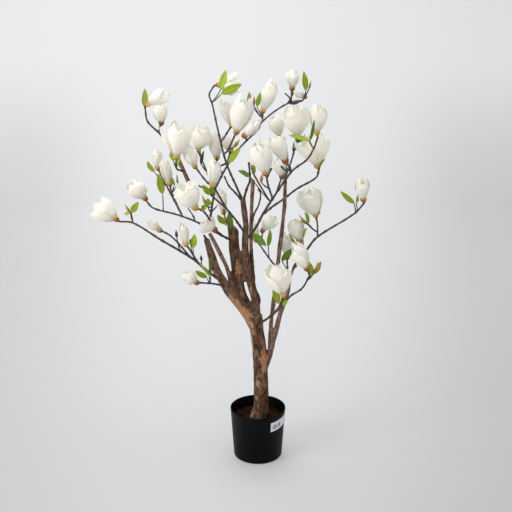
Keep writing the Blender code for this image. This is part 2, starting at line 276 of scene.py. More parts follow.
def show(mesh: bpy.types.Mesh, finish: "Finish", replaced: Iterable[str] = (),
         smooth: bool = True) -> bpy.types.Object:
    """Puts a finished mesh in the scene as a piece of the object, under the mesh's name.

    Args:
        mesh: The mesh, in the frame's own place.
        finish: The finish that the piece wears.
        replaced: The CAD nodes that the piece stands for.
        smooth: Whether its faces are shaded smooth.

    Returns:
        The new object.
    """
    if smooth:
        mesh.shade_smooth()
    mesh.materials.clear()
    mesh.materials.append(finish.material())
    piece = bpy.data.objects.new(mesh.name, mesh)
    bpy.context.scene.collection.objects.link(piece)
    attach(piece, BODY)
    names = list(replaced)
    if names:
        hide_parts(*names)
    mesh.calc_loop_triangles()
    log.info("%s: %d triangles", mesh.name, len(mesh.loop_triangles))
    return piece


def tube(path: Path, thickness: Callable[[float], float], sides: int) -> bmesh.types.BMesh:
    """A closed round tube, drawn out ring by ring along a path.

    Args:
        path: The centreline.
        thickness: The radius in metres at a share of the path, from 0 to 1.
        sides: The number of sides of each ring.

    Returns:
        A new shape with capped ends.
    """
    shape = bmesh.new()
    last = len(path.points) - 1
    poses = []
    for index in range(last + 1):
        size = thickness(index / last)
        turned = path.frames[index].to_4x4() @ Matrix.Diagonal((size, size, size, 1.0))
        poses.append(Matrix.Translation(path.points[index]) @ turned)
    bmesh.ops.create_circle(shape, cap_ends=True, radius=1.0, segments=sides, matrix=poses[0])
    ring = list(shape.edges)
    for before, after in zip(poses, poses[1:]):
        grown = bmesh.ops.extrude_edge_only(shape, edges=ring)["geom"]
        corners = [item for item in grown if isinstance(item, bmesh.types.BMVert)]
        ring = [item for item in grown if isinstance(item, bmesh.types.BMEdge)]
        bmesh.ops.transform(shape, matrix=after @ before.inverted(), verts=corners)
    bmesh.ops.contextual_create(shape, geom=ring)
    bmesh.ops.recalc_face_normals(shape, faces=shape.faces)
    return shape


class Signal:
    """One output socket, with the arithmetic that Math nodes can do on it."""

    def __init__(self, paint: "Paint", socket: bpy.types.NodeSocket) -> None:
        """Wraps a socket of the paint's node tree."""
        self.paint = paint
        self.socket = socket

    def math(self, operation: str, *others: "Signal | float") -> "Signal":
        """A Math node on this value and the others, in that order."""
        values = dict(enumerate((self, *others)))
        return self.paint.node("ShaderNodeMath", {"operation": operation}, values)

    def __add__(self, other: "Signal | float") -> "Signal":
        """This value plus the other."""
        return self.math("ADD", other)

    __radd__ = __add__

    def __mul__(self, other: "Signal | float") -> "Signal":
        """This value times the other."""
        return self.math("MULTIPLY", other)

    __rmul__ = __mul__

    def __sub__(self, other: "Signal | float") -> "Signal":
        """This value less the other."""
        return self.math("SUBTRACT", other)

    def __rsub__(self, other: float) -> "Signal":
        """The other value less this one."""
        return (self * -1.0) + other

    def __pow__(self, power: float) -> "Signal":
        """This value to a power."""
        return self.math("POWER", power)

    def step(self, low: float, high: float) -> "Signal":
        """A soft step, 0 at low and 1 at high."""
        settings = {"interpolation_type": "SMOOTHSTEP"}
        return self.paint.node("ShaderNodeMapRange", settings,
                               {"Value": self, "From Min": low, "From Max": high})


class Paint:
    """The node tree of one material."""

    def __init__(self, name: str) -> None:
        """Starts a material with a Principled shader.

        Args:
            name: The material's name.
        """
        self.made = bpy.data.materials.new(name)
        self.made.use_nodes = True
        self.tree = self.made.node_tree
        self.shader = self.tree.nodes["Principled BSDF"]
        self.end = self.tree.nodes["Material Output"]

    def node(self, kind: str, settings: dict | None = None, values: dict | None = None,
             output: str | int = 0) -> Signal:
        """Adds any node.

        Args:
            kind: The node's type.
            settings: Its own settings, set first; stops is a colour ramp's list of
                (place, colour).
            values: What its sockets take, by name, identifier or number: a signal, a
                number, a vector or a colour.
            output: The output that is wanted, by name, identifier or number.

        Returns:
            The wanted output.
        """
        made = self.tree.nodes.new(kind)
        for key, value in (settings or {}).items():
            if key == "stops":
                self._stops(made.color_ramp, value)
            else:
                setattr(made, key, value)
        for key, value in (values or {}).items():
            self.feed(self._find(made.inputs, key), value)
        return Signal(self, self._find(made.outputs, output))

    @staticmethod
    def _stops(ramp: bpy.types.ColorRamp, stops: Sequence[tuple[float, Colour]]) -> None:
        """Sets a colour ramp's stops.

        Args:
            ramp: The colour ramp.
            stops: The place and the colour of each stop.
        """
        while len(ramp.elements) < len(stops):
            ramp.elements.new(1.0)
        for element, (place, colour) in zip(ramp.elements, stops):
            element.position = place
            element.color = (*colour, 1.0)

    @staticmethod
    def _find(sockets: bpy.types.bpy_prop_collection, key: str | int) -> bpy.types.NodeSocket:
        """Finds a socket.

        Args:
            sockets: A node's inputs or outputs.
            key: The socket's number, identifier or name.

        Returns:
            The socket.
        """
        if isinstance(key, int):
            return sockets[key]
        for socket in sockets:
            if socket.identifier == key:
                return socket
        return sockets[key]

    def feed(self, socket: bpy.types.NodeSocket, value: "Signal | float | Sequence") -> None:
        """Links a signal to a socket, or sets its value.

        Args:
            socket: The socket.
            value: A signal, a number, a vector or a colour.
        """
        if isinstance(value, Signal):
            self.tree.links.new(value.socket, socket)
        elif isinstance(value, (tuple, list)) and socket.type == "RGBA" and len(value) == 3:
            socket.default_value = (*value, 1.0)
        else:
            socket.default_value = value

    def set(self, **values: "Signal | float | Sequence") -> None:
        """Feeds the shader's sockets; an underscore stands for a space in their names."""
        for key, value in values.items():
            self.feed(self.shader.inputs[key.replace("_", " ")], value)

    def place(self) -> Signal:
        """The object's own coordinates, in metres."""
        return self.node("ShaderNodeTexCoord", output="Object")

    def layer(self, name: str, output: str = "Fac") -> Signal:
        """A mesh attribute: its Fac, Vector or Color."""
        return self.node("ShaderNodeAttribute", {"attribute_name": name}, output=output)

    def surface(self) -> tuple[Signal, Signal]:
        """Reads the piece's own UV map.

        Returns:
            Its two numbers, each from 0 to 1.
        """
        where = self.node("ShaderNodeUVMap", {"uv_map": UV_MAP})
        split = self.node("ShaderNodeSeparateXYZ", values={0: where})
        return split, Signal(self, split.socket.node.outputs[1])

    def grain(self, scale: float, detail: float = 2.0, roughness: float = 0.5,
              vector: Signal | None = None, warp: float = 0.0) -> Signal:
        """Soft noise from 0 to 1.

        Args:
            scale: The number of swells in a metre.
            detail: How many finer rounds lie over the first.
            roughness: How strongly the finer rounds show.
            vector: The coordinates, or the object's own where none are given.
            warp: How far the noise is pulled out of shape.

        Returns:
            The noise.
        """
        return self.node("ShaderNodeTexNoise", {}, {
            "Vector": vector or self.place(), "Scale": scale, "Detail": detail,
            "Roughness": roughness, "Distortion": warp,
        })

    def stretched(self, vector: Signal, scale: Sequence[float]) -> Signal:
        """A vector with each of its numbers scaled."""
        return self.node("ShaderNodeMapping", {}, {"Vector": vector, "Scale": tuple(scale)})

    def ramp(self, value: Signal, stops: Sequence[tuple[float, Colour]]) -> Signal:
        """The colours of a ramp at this value."""
        return self.node("ShaderNodeValToRGB", {"stops": stops}, {0: value})

    def mix(self, under: "Signal | Colour", over: "Signal | Colour",
            share: "Signal | float") -> Signal:
        """One colour laid over another by a share from 0 to 1."""
        return self.node("ShaderNodeMix", {"data_type": "RGBA"},
                         {"Factor_Float": share, "A_Color": under, "B_Color": over},
                         "Result_Color")

    def bump(self, height: Signal, depth: float, strength: float = 1.0) -> Signal:
        """A relief of this depth in metres."""
        values = {"Height": height, "Distance": depth, "Strength": strength}
        return self.node("ShaderNodeBump", {}, values)

    def sheer(self, colour: Colour, share: float) -> None:
        """Lets light through the surface, as thin cloth does.

        Args:
            colour: The colour of the light that comes through.
            share: How much of the surface's light comes through.
        """
        glow = self.node("ShaderNodeBsdfTranslucent", {}, {"Color": colour})
        both = self.node("ShaderNodeMixShader", {}, {0: share, 2: glow})
        mixer = both.socket.node
        self.tree.links.new(self.shader.outputs[0], mixer.inputs[1])
        self.tree.links.new(both.socket, self.end.inputs["Surface"])


class Finish:
    """A finish that makes its material once and then hands it out."""

    name: str

    def dress(self, paint: Paint) -> None:
        """Lays the finish out in a material's nodes.

        Args:
            paint: The material's nodes.
        """
        raise NotImplementedError

    def material(self) -> bpy.types.Material:
        """The finish's material."""
        if self.name not in bpy.data.materials:
            self.dress(Paint(self.name))
        return bpy.data.materials[self.name]


@dataclass(frozen=True)
class Satin(Finish):
    """Satin black plastic, as moulded."""

    name: str = "satin_black"
    colour: Colour = (0.0022, 0.0022, 0.0024)
    rubbed: Colour = (0.0052, 0.0050, 0.0048)
    dusty: Colour = (0.045, 0.042, 0.038)

    def dress(self, paint: Paint) -> None:
        """A near-black skin, slightly uneven in its sheen, with dust in its fine grain.

        Args:
            paint: The material's nodes.
        """
        rub = paint.grain(38.0, 4.0, 0.6)
        dust = paint.grain(1400.0, 1.0).step(0.62, 0.78)
        drawn = paint.grain(1.0, 2.0, 0.5, paint.stretched(paint.place(), (420, 420, 9)))
        tone = paint.mix(self.colour, self.rubbed, rub.step(0.35, 0.85) * 0.7)
        paint.set(Base_Color=paint.mix(tone, self.dusty, dust * 0.09),
                  Roughness=0.40 + rub * 0.12 + drawn * 0.05,
                  Specular_IOR_Level=0.06,
                  Normal=paint.bump(drawn + paint.grain(900.0, 2.0) * 0.5, 0.00004, 0.6))


@dataclass(frozen=True)
class Sticker(Finish):
    """White paper with a generic row of bars in its near corner."""

    name: str = "sticker_paper"
    soiled: Colour = (0.66, 0.67, 0.69)
    clean: Colour = (0.74, 0.745, 0.75)
    print_ink: Colour = (0.06, 0.065, 0.09)

    def dress(self, paint: Paint) -> None:
        """Paper white, grey bars and slightly soiled patches.

        Args:
            paint: The material's nodes.
        """
        across, up = paint.surface()
        bars = (across * 66.0).math("SINE") + (across * 109.0).math("SINE") * 0.6
        field_across = across.step(0.075, 0.085) * (1 - across.step(0.575, 0.585))
        field_up = up.step(0.2, 0.215) * (1 - up.step(0.66, 0.675))
        ink = bars.step(-0.20, 0.20) * field_across * field_up
        worn = paint.grain(260.0, 3.0).step(0.35, 0.75)
        paper = paint.mix(self.soiled, self.clean, worn)
        paint.set(Base_Color=paint.mix(paper, self.print_ink, ink),
                  Roughness=0.42 + worn * 0.15,
                  Normal=paint.bump(worn, 0.00005, 0.5))


@dataclass(frozen=True)
class Peat(Finish):
    """The set fill: dark brown fibre with rust-coloured crumbs."""

    name: str = "peat"
    dark: Colour = (0.005, 0.0022, 0.0014)
    damp: Colour = (0.008, 0.0033, 0.0020)
    crumb: Colour = (0.052, 0.017, 0.006)
    rust: Colour = (0.190, 0.062, 0.018)
    straw: Colour = (0.30, 0.17, 0.08)

    def dress(self, paint: Paint) -> None:
        """Brown shades by clumps, with rust and straw flecks between them.

        Args:
            paint: The material's nodes.
        """
        clump = paint.grain(75.0, 5.0, 0.62)
        fleck = paint.grain(340.0, 3.0, 0.6).step(0.52, 0.72)
        chaff = paint.grain(520.0, 2.0, 0.5, warp=1.5).step(0.66, 0.74)
        brown = paint.ramp(clump, [(0.30, self.dark), (0.50, self.damp), (0.68, self.crumb)])
        rusty = paint.mix(brown, self.rust, fleck * 0.24)
        fibre = paint.grain(620.0, 4.0, 0.7)
        paint.set(Base_Color=paint.mix(rusty, self.straw, chaff * 0.30),
                  Roughness=0.94, Specular_IOR_Level=0.05,
                  Normal=paint.bump(fibre + clump, 0.0012, 0.8))


@dataclass(frozen=True)
class Bark(Finish):
    """Real bark with worn patches, knots and pale flakes.

    The mesh brings the layers: grain runs along the limb, and bare, knot, flake, warm
    and cut say where each shows.
    """

    name: str = "bark"
    deep: Colour = (0.026, 0.0145, 0.0085)
    brown: Colour = (0.080, 0.042, 0.024)
    dun: Colour = (0.115, 0.067, 0.040)
    grey: Colour = (0.180, 0.112, 0.071)
    ash: Colour = (0.290, 0.200, 0.135)
    rust: Colour = (0.190, 0.060, 0.022)
    pale: Colour = (0.430, 0.340, 0.255)
    split: Colour = (0.016, 0.010, 0.007)
    scar: Colour = (0.125, 0.036, 0.012)
    scar_rim: Colour = (0.030, 0.016, 0.011)
    pole: tuple[Colour, ...] = ((0.028, 0.015, 0.011), (0.160, 0.088, 0.053),
                                (0.255, 0.160, 0.110), (0.380, 0.280, 0.215))
    worn: tuple[Colour, ...] = ((0.185, 0.080, 0.036), (0.360, 0.180, 0.084),
                                (0.450, 0.232, 0.098), (0.580, 0.370, 0.220))
    sawn: tuple[Colour, ...] = ((0.085, 0.055, 0.040), (0.260, 0.185, 0.130))

    def dress(self, paint: Paint) -> None:
        """Lays brown, grey and furrows along the grain, then the marks over them.

        Args:
            paint: The material's nodes.
        """
        along = paint.layer("grain", "Vector")
        wide = paint.grain(95.0, 6.0, 0.72, along, 1.0)
        blotch = paint.grain(34.0, 3.0, 0.6, along, 1.2)
        streak = paint.grain(1.0, 5.0, 0.70, paint.stretched(along, (260, 260, 150)), 1.2)
        fine = paint.grain(1.0, 3.0, 0.6, paint.stretched(along, (900, 900, 420)))
        plates = paint.grain(210.0, 4.0, 0.66, along, 1.0)
        bark = paint.ramp(wide + (blotch - 0.5) * 0.7, [
            (0.36, self.deep), (0.44, self.brown), (0.52, self.dun), (0.61, self.grey),
            (0.74, self.ash)])
        round_wood = paint.ramp(streak + (wide - 0.5) * 0.6,
                                list(zip((0.36, 0.47, 0.56, 0.68), self.pole)))
        under = paint.mix(bark, round_wood, paint.layer("warm"))
        scab = (plates * 0.5 + blotch * 0.5).step(0.54, 0.62)
        stained = paint.mix(under, self.rust, scab * 0.45)
        shed = (plates + paint.layer("flake") * 0.19 + (fine - 0.5) * 0.2).step(0.63, 0.69)
        flaked = paint.mix(stained, self.pale, shed * 0.85)
        wood = paint.ramp(streak + (wide - 0.5) * 0.4,
                          list(zip((0.36, 0.47, 0.56, 0.70), self.worn)))
        edge = paint.layer("bare") + (wide - 0.5) * 1.7 + (blotch - 0.5) * 1.0
        bare = edge.step(0.34, 0.60)
        worn = paint.mix(flaked, wood, bare * 0.90)
        crack = (streak * 0.7 + plates * 0.3).step(0.375, 0.43)
        cracked = paint.mix(self.split, worn, crack * 0.42 + 0.58)
        boss = paint.layer("knot") + (wide - 0.5) * 1.2
        rim = boss.step(0.16, 0.32) * (1 - boss.step(0.42, 0.62))
        knotted = paint.mix(paint.mix(cracked, self.scar, boss.step(0.30, 0.70) * 0.85),
                            self.scar_rim, rim * 0.55)
        ends = paint.layer("cut").step(0.45, 0.6)
        sawn = paint.ramp(fine * 0.5 + wide * 0.5, list(zip((0.35, 0.65), self.sawn)))
        relief = streak * (1 - bare * 0.6) + wide + fine * 0.3 - shed * 0.2
        paint.set(Base_Color=paint.mix(knotted, sawn, ends),
                  Roughness=0.86 - bare * 0.20 + shed * 0.05,
                  Specular_IOR_Level=0.08,
                  Normal=paint.bump(relief, 0.0013, 1.0))


@dataclass(frozen=True)
class Wire(Finish):
    """Dark moulded stem with an olive cast, duller and paler in patches."""

    name: str = "stem_skin"
    dark: Colour = (0.022, 0.0145, 0.0105)
    brown: Colour = (0.052, 0.035, 0.025)
    worn: Colour = (0.125, 0.088, 0.060)
    olive: Colour = (0.060, 0.062, 0.028)

    def dress(self, paint: Paint) -> None:
        """Mottles the dark skin and roughens it.

        Args:
            paint: The material's nodes.
        """
        mottle = paint.grain(120.0, 4.0, 0.65)
        fine = paint.grain(900.0, 3.0, 0.6)
        moss = paint.grain(34.0, 2.0).step(0.58, 0.74)
        tone = paint.ramp(mottle, [(0.34, self.dark), (0.54, self.brown), (0.76, self.worn)])
        paint.set(Base_Color=paint.mix(tone, self.olive, moss * 0.35),
                  Roughness=0.52 + mottle * 0.25,
                  Normal=paint.bump(mottle + fine * 0.6, 0.0006, 0.8))


@dataclass(frozen=True)
class Silk(Finish):
    """Creamy petal cloth: sheer, faintly ribbed, tinted where it leaves the calyx."""

    name: str = "petal_silk"
    cream: Colour = (0.955, 0.935, 0.865)
    shade: Colour = (0.880, 0.830, 0.700)
    root: Colour = (0.720, 0.600, 0.300)
    through: Colour = (0.930, 0.900, 0.815)
    sheerness: float = 0.30

    def dress(self, paint: Paint) -> None:
        """Fades from the tinted root to cream, with ribs from root to tip.

        Args:
            paint: The material's nodes.
        """
        across, up = paint.surface()
        where = paint.node("ShaderNodeCombineXYZ", {}, {0: across * 34.0, 1: up * 2.6})
        rib = paint.grain(1.0, 2.0, 0.5, where)
        cloud = paint.grain(42.0, 3.0, 0.55)
        weave = paint.grain(2400.0, 1.0)
        folds = (rib * 0.5 + cloud * 0.5).step(0.42, 0.72)
        cloth = paint.mix(self.cream, self.shade, folds * 0.75)
        dyed = paint.mix(self.root, cloth, (up + (rib - 0.5) * 0.08).step(0.01, 0.18))
        paint.set(Base_Color=dyed, Roughness=0.72, Specular_IOR_Level=0.25, Sheen_Weight=0.15,
                  Normal=paint.bump(rib * 0.9 + cloud * 0.5 + weave * 0.10, 0.0014, 0.9))
        paint.sheer(self.through, self.sheerness)


@dataclass(frozen=True)
class Husk(Finish):
    """The calyx cups: rust at the stalk, ochre towards the lobes."""

    name: str = "calyx_husk"
    rust: Colour = (0.245, 0.080, 0.022)
    ochre: Colour = (0.580, 0.335, 0.050)
    straw: Colour = (0.640, 0.470, 0.150)

    def dress(self, paint: Paint) -> None:
        """Fades up the cup, and turns some cups rusty and others yellow.

        Args:
            paint: The material's nodes.
        """
        up = paint.surface()[1]
        whole = paint.grain(11.0, 0.0)
        fine = paint.grain(420.0, 3.0, 0.6)
        level = up + (fine - 0.5) * 0.3 + (whole - 0.5) * 1.5
        tone = paint.ramp(level, [(0.05, self.rust), (0.42, self.ochre), (0.95, self.straw)])
        paint.set(Base_Color=tone, Roughness=0.62, Normal=paint.bump(fine, 0.0005, 0.7))


@dataclass(frozen=True)
class LeafCloth(Finish):
    """Printed leaf cloth of one green, with a paler midrib and side veins."""

    name: str
    green: Colour
    rib: Colour
    rim_dark: float = 0.55

    def dress(self, paint: Paint) -> None:
        """Draws the midrib and the slanting veins on the leaf's own surface.

        Args:
            paint: The material's nodes.
        """
        across, up = paint.surface()
        off = (across - 0.5).math("ABSOLUTE")
        midrib = 1 - off.step(0.012, 0.045)
        slant = ((up * 46.0 - off * 38.0).math("SINE")).step(0.55, 1.0)
        mottle = paint.grain(85.0, 3.0, 0.6)
        rim = off.step(0.36, 0.5)
        base = paint.mix(self.green, self.rib, mottle.step(0.42, 0.80) * 0.35)
        deeper = tuple(part * self.rim_dark for part in self.green)
        rimmed = paint.mix(base, deeper, rim * 0.35)
        veined = paint.mix(rimmed, self.rib, slant * 0.22)
        paint.set(Base_Color=paint.mix(veined, self.rib, midrib * 0.75),
                  Roughness=0.50 + mottle * 0.15, Specular_IOR_Level=0.22,
                  Normal=paint.bump(midrib * -0.8 - slant * 0.35 + mottle * 0.3, 0.0005, 0.8))


@dataclass(frozen=True)
class BudSkin(Finish):
    """The skin of a leaf bud, streaked from foot to point."""

    name: str
    foot: Colour
    point: Colour

    def dress(self, paint: Paint) -> None:
        """Fades from foot to point with fine streaks.

        Args:
            paint: The material's nodes.
        """
        across, up = paint.surface()
        where = paint.node("ShaderNodeCombineXYZ", {}, {0: across * 18.0, 1: up * 3.0})
        streak = paint.grain(1.0, 3.0, 0.6, where)
        tone = paint.mix(self.foot, self.point, (up + (streak - 0.5) * 0.6).step(0.15, 0.9))
        paint.set(Base_Color=tone, Roughness=0.6, Normal=paint.bump(streak, 0.0005, 0.7))


@dataclass(frozen=True)
class Paper(Finish):
    """The studio's plain pale paper."""

    name: str = "studio_paper"
    colour: Colour = (0.334, 0.336, 0.339)
    glow: float = 0.235
    middle: float = -0.07
    near: Colour = (0.990, 0.995, 1.000)
    aside: Colour = (0.440, 0.445, 0.455)

    def dress(self, paint: Paint) -> None:
        """Plain and matt, with a faint glow for the bright room that fades to the sides.

        Args:
            paint: The material's nodes.
        """
        across = paint.node("ShaderNodeSeparateXYZ", values={0: paint.place()})
        back, height = (Signal(paint, across.socket.node.outputs[index]) for index in (1, 2))
        far = (across - self.middle).math("ABSOLUTE") - back * 0.16
        fade = far.step(0.10, 0.96) * (1 - height.step(0.0, 0.8))
        paint.set(Base_Color=self.colour, Roughness=0.9, Specular_IOR_Level=0.1,
                  Emission_Color=paint.mix(self.near, self.aside, fade),
                  Emission_Strength=self.glow)


@dataclass(frozen=True)
class Softbox:
    """A square soft light; its place, side and aim in metres, its power in watts."""

    name: str
    place: Place
    size: float
    power: float
    aim: Place

    def hang(self) -> None:
        """Makes the light, turned to the point that it is aimed at."""
        light = bpy.data.lights.new(self.name, "AREA")
        light.shape = "SQUARE"
        light.size = self.size
        light.energy = self.power
        holder = bpy.data.objects.new(self.name, light)
        holder.location = self.place
        ray = Vector(self.aim) - Vector(self.place)
        holder.rotation_euler = ray.to_track_quat("-Z", "Y").to_euler()
        bpy.context.scene.collection.objects.link(holder)


@dataclass
class Studio:
    """The paper bowl that the tree stands in, its lights and the camera; in metres."""

    floor_radius: float = 3.4
    wall_radius: float = 5.2
    wall_height: float = 4.6
    bend_steps: int = 18
    turns: int = 96
    lights: tuple[Softbox, ...] = (
        Softbox("key_left", (-3.2, -2.0, 2.0), 1.9, 80.0, (0.0, 0.0, 1.1)),
        Softbox("overhead", (-0.2, 0.45, 2.9), 2.4, 50.0, (-0.25, 0.8, 0.0)),
        Softbox("fill_front", (0.3, -4.4, 1.5), 2.4, 44.0, (0.0, 0.0, 0.9)),
        Softbox("wall_wash", (-0.6, 3.0, 4.2), 2.2, 172.0, (-0.6, 5.2, 1.8)),
    )
    air_colour: Colour = (0.95, 0.97, 1.0)
    air_strength: float = 0.73
    camera_place: Place = (-0.006, -2.742, 1.519)
    look_down: float = 17.5
    lens: float = 68.1
    sensor: float = 36.0

    def build(self) -> None:
        """Makes the paper, the lights, the world and the camera."""
        self._paper()
        for light in self.lights:
            light.hang()
        world = bpy.data.worlds.new("studio_air")
        world.use_nodes = True
        air = world.node_tree.nodes["Background"]
        air.inputs["Color"].default_value = (*self.air_colour, 1.0)
        air.inputs["Strength"].default_value = self.air_strength
        bpy.context.scene.world = world
        bpy.context.scene.view_settings.view_transform = "Standard"
        self._camera()

    def _paper(self) -> None:
        """Turns the floor and the wall that bends up from it."""
        reach = self.wall_radius - self.floor_radius
        profile = [Vector((0.0, 0.0, 0.0)), Vector((self.floor_radius, 0.0, 0.0))]
        for index in range(1, self.bend_steps + 1):
            turn = math.pi / 2 * index / self.bend_steps
            profile.append(Vector((self.floor_radius + reach * math.sin(turn), 0.0,
                                   reach * (1 - math.cos(turn)))))
        profile.append(Vector((self.wall_radius, 0.0, self.wall_height)))
        shape = turned(profile, self.turns)
        mesh = bpy.data.meshes.new("studio_paper")
        shape.to_mesh(mesh)
        shape.free()
        mesh.shade_smooth()
        mesh.materials.append(Paper().material())
        paper = bpy.data.objects.new("studio_paper", mesh)
        bpy.context.scene.collection.objects.link(paper)

    def _camera(self) -> None:
        """The camera, looking slightly down from the front."""
        data = bpy.data.cameras.new("camera")
        data.lens = self.lens
        data.sensor_width = self.sensor
        camera = bpy.data.objects.new("camera", data)
        camera.location = self.camera_place
        camera.rotation_euler = (math.radians(90.0 - self.look_down), 0.0, 0.0)
        bpy.context.scene.collection.objects.link(camera)
        bpy.context.scene.camera = camera


def turned(profile: Sequence[Vector], steps: int) -> bmesh.types.BMesh:
    """Turns an open profile a full circle round the vertical axis.

    Args:
        profile: The profile's points, in metres, in the plane of X and Z.
        steps: The number of steps in the circle.

    Returns:
        A new shape.
    """
    shape = bmesh.new()
    corners = [shape.verts.new(point) for point in profile]
    lines = [shape.edges.new(pair) for pair in zip(corners, corners[1:])]
    bmesh.ops.spin(shape, geom=[*corners, *lines], cent=(0, 0, 0), axis=(0, 0, 1),
                   angle=math.tau, steps=steps, use_merge=True, use_duplicate=False)
    bmesh.ops.remove_doubles(shape, verts=shape.verts, dist=WELD)
    bmesh.ops.recalc_face_normals(shape, faces=shape.faces)
    return shape


@dataclass
class NurseryPot:
    """The thin black pot with its fill and its sticker; sizes in millimetres.

    clods and grit are the size and the height of the fill's finer relief.
    """

    rim: float = 85.5
    foot: float = 75.0
    height: float = 162.0
    wall: float = 2.6
    foot_rounding: float = 6.5
    foot_steps: int = 6
    foot_bevel: float = 16.0
    inner_rounding: tuple[float, float] = (3.0, 9.0)
    lip_depth: float = 5.0
    lip_proud: float = 0.7
    lip_top: float = 0.6
    turns: int = 112
    sharp: float = 40.0
    fill_level: float = 128.0
    fill_depth: float = 14.0
    fill_gap: float = 0.2
    fill_relief: float = 3.4
    clods: tuple[float, float] = (5.2, 1.4)
    grit: tuple[float, float] = (1.9, 0.6)
    rim_dip: float = 1.5
    fill_rings: int = 44
    fill_turns: int = 150
    crumbs: int = 420
    crumb_size: tuple[float, float] = (0.8, 2.6)
    crumb_seed: int = 11
    sticker_turn: tuple[float, float] = (28.0, 77.0)
    sticker_middle: float = 129.0
    sticker_height: float = 31.0
    sticker_tilt: float = 6.0
    sticker_proud: float = 0.12
    sticker_thickness: float = 0.16

    def build(self) -> None:
        """Makes the pot, the fill and the sticker."""
        self._shell()
        self._fill()
        self._sticker()

    def radius(self, height: float) -> float:
        """The outer radius at a height over the underside, in millimetres."""
        return self.foot + (self.rim - self.foot) * height / self.height

    def _shell(self) -> None:
        """Turns the wall, rounded at the foot, with a thin rolled lip."""
        inner_floor = self.wall
        lip = self.height - self.lip_depth
        rounding, bend = self.inner_rounding
        outline = [
            (0.0, inner_floor),
            (self.radius(inner_floor) - self.wall - rounding, inner_floor),
            (self.radius(bend) - self.wall, bend),
            (self.radius(lip) - self.wall, lip),
            (self.rim - self.wall + self.lip_top / 2, self.height - self.lip_top),
            (self.rim - self.wall / 2, self.height),
            (self.rim, self.height - self.lip_proud),
            (self.radius(lip) + self.lip_proud, lip + 0.8),
            (self.radius(lip), lip),
        ]
        for index in range(self.foot_steps + 1):
            turn = math.pi / 2 * index / self.foot_steps
            inset = self.foot_rounding * (1 - math.cos(turn))
            up = self.foot_rounding * (1 - math.sin(turn))
            outline.append((self.radius(up) - inset, up))
        outline += [(self.foot - self.foot_bevel, 0.0), (0.0, 0.0)]
        pot = Piece("pot_shell")
        pot.take(turned(profile_of(outline), self.turns))
        made = show(pot.mesh(), Satin(), ["pot"])
        made.data.set_sharp_from_angle(angle=math.radians(self.sharp))

    def _fill(self) -> None:
        """Turns a finely ringed disc, heaves its top by noise and strews crumbs on it."""
        edge = self.radius(self.fill_level) - self.wall - self.fill_gap
        outline = [(edge * index / self.fill_rings, self.fill_level)
                   for index in range(self.fill_rings + 1)]
        bottom = self.fill_level - self.fill_depth
        outline += [(edge, bottom), (0.0, bottom)]
        shape = turned(profile_of(outline), self.fill_turns)
        for corner in shape.verts:
            if corner.co.z > (self.fill_level - self.fill_depth / 2) * MM:
                corner.co.z = self._fill_top(corner.co)
        peat = Piece("peat_fill")
        peat.take(shape)
        peat.take(self._crumbs(edge))
        show(peat.mesh(), Peat(), ["fill"])

    def _fill_top(self, place: Vector) -> float:
        """The fill's surface: slow heaves, clods and grit, a little lower at the rim.

        Args:
            place: A place over the fill, in metres; its height doesn't matter.

        Returns:
            The surface's height there, in metres.
        """
        flat = Vector((place.x, place.y, 0.0))
        rise = self.fill_relief * noise.fractal(flat / (21 * MM), 0.9, 2.1, 3) * 0.8
        for (size, high), start in ((self.clods, (7, 3, 1)), (self.grit, (1, 8, 5))):
            rise += high * noise.noise(flat / (size * MM) + Vector(start))
        rise -= smoothstep(0.6, 1.0, flat.length / (self.rim * MM)) * self.rim_dip
        return (self.fill_level + rise) * MM

    def _crumbs(self, edge: float) -> bmesh.types.BMesh:
        """Strews small clods over the fill, each a squashed and turned ball.

        Args:
            edge: The fill's radius in millimetres.

        Returns:
            A new shape.
        """
        dice = random.Random(self.crumb_seed)
        shape = bmesh.new()
        for _ in range(self.crumbs):
            turn = dice.uniform(0, math.tau)
            out = math.sqrt(dice.uniform(0.09, 1.0)) * (edge - 3.0) * MM
            place = Vector((math.cos(turn) * out, math.sin(turn) * out, 0.0))
            size = dice.uniform(*self.crumb_size) * MM
            place.z = self._fill_top(place) + size * 0.25
            squash = Matrix.Diagonal((1.0, dice.uniform(0.5, 0.9), dice.uniform(0.4, 0.8), 1.0))
            spin = Matrix.Rotation(dice.uniform(0, math.tau), 4, Vector((
                dice.uniform(-1, 1), dice.uniform(-1, 1), dice.uniform(-1, 1))))
            bmesh.ops.create_icosphere(shape, subdivisions=1, radius=size,
                                       matrix=Matrix.Translation(place) @ spin @ squash)
        return shape

    def _sticker(self) -> None:
        """Bends a grid round the pot's side, a little askew, and gives it thickness."""
        shape = grid(24, 4)
        first, last = (math.radians(turn) for turn in self.sticker_turn)
        for corner in shape.verts:
            share = (corner.co.x + 1) / 2
            height = (self.sticker_middle + corner.co.y * self.sticker_height / 2
                      + (share - 0.5) * self.sticker_tilt)
            turn = first + (last - first) * share
            out = self.radius(height) + self.sticker_proud
            corner.co = Vector((math.sin(turn) * out, -math.cos(turn) * out, height)) * MM
        bmesh.ops.recalc_face_normals(shape, faces=shape.faces)
        front = next(iter(shape.faces))
        if front.normal.dot(Vector((front.calc_center_median().xy[:] + (0.0,)))) < 0:
            bmesh.ops.reverse_faces(shape, faces=shape.faces)
        bmesh.ops.solidify(shape, geom=shape.faces, thickness=-self.sticker_thickness * MM)
        sticker = Piece("pot_sticker")
        sticker.take(shape)
        show(sticker.mesh(), Sticker(), smooth=False)


@dataclass(frozen=True)
class Limb:
    """A tapering limb that starts on its parent's centreline; sizes in millimetres.

    warm says how brown its bark is, and slant the way that its sawn end faces.
    """

    name: str
    parent: str
    along: float
    thick: tuple[float, float]
    stops: tuple[Place, ...]
    warm: float = 0.0
    slant: Place | None = None


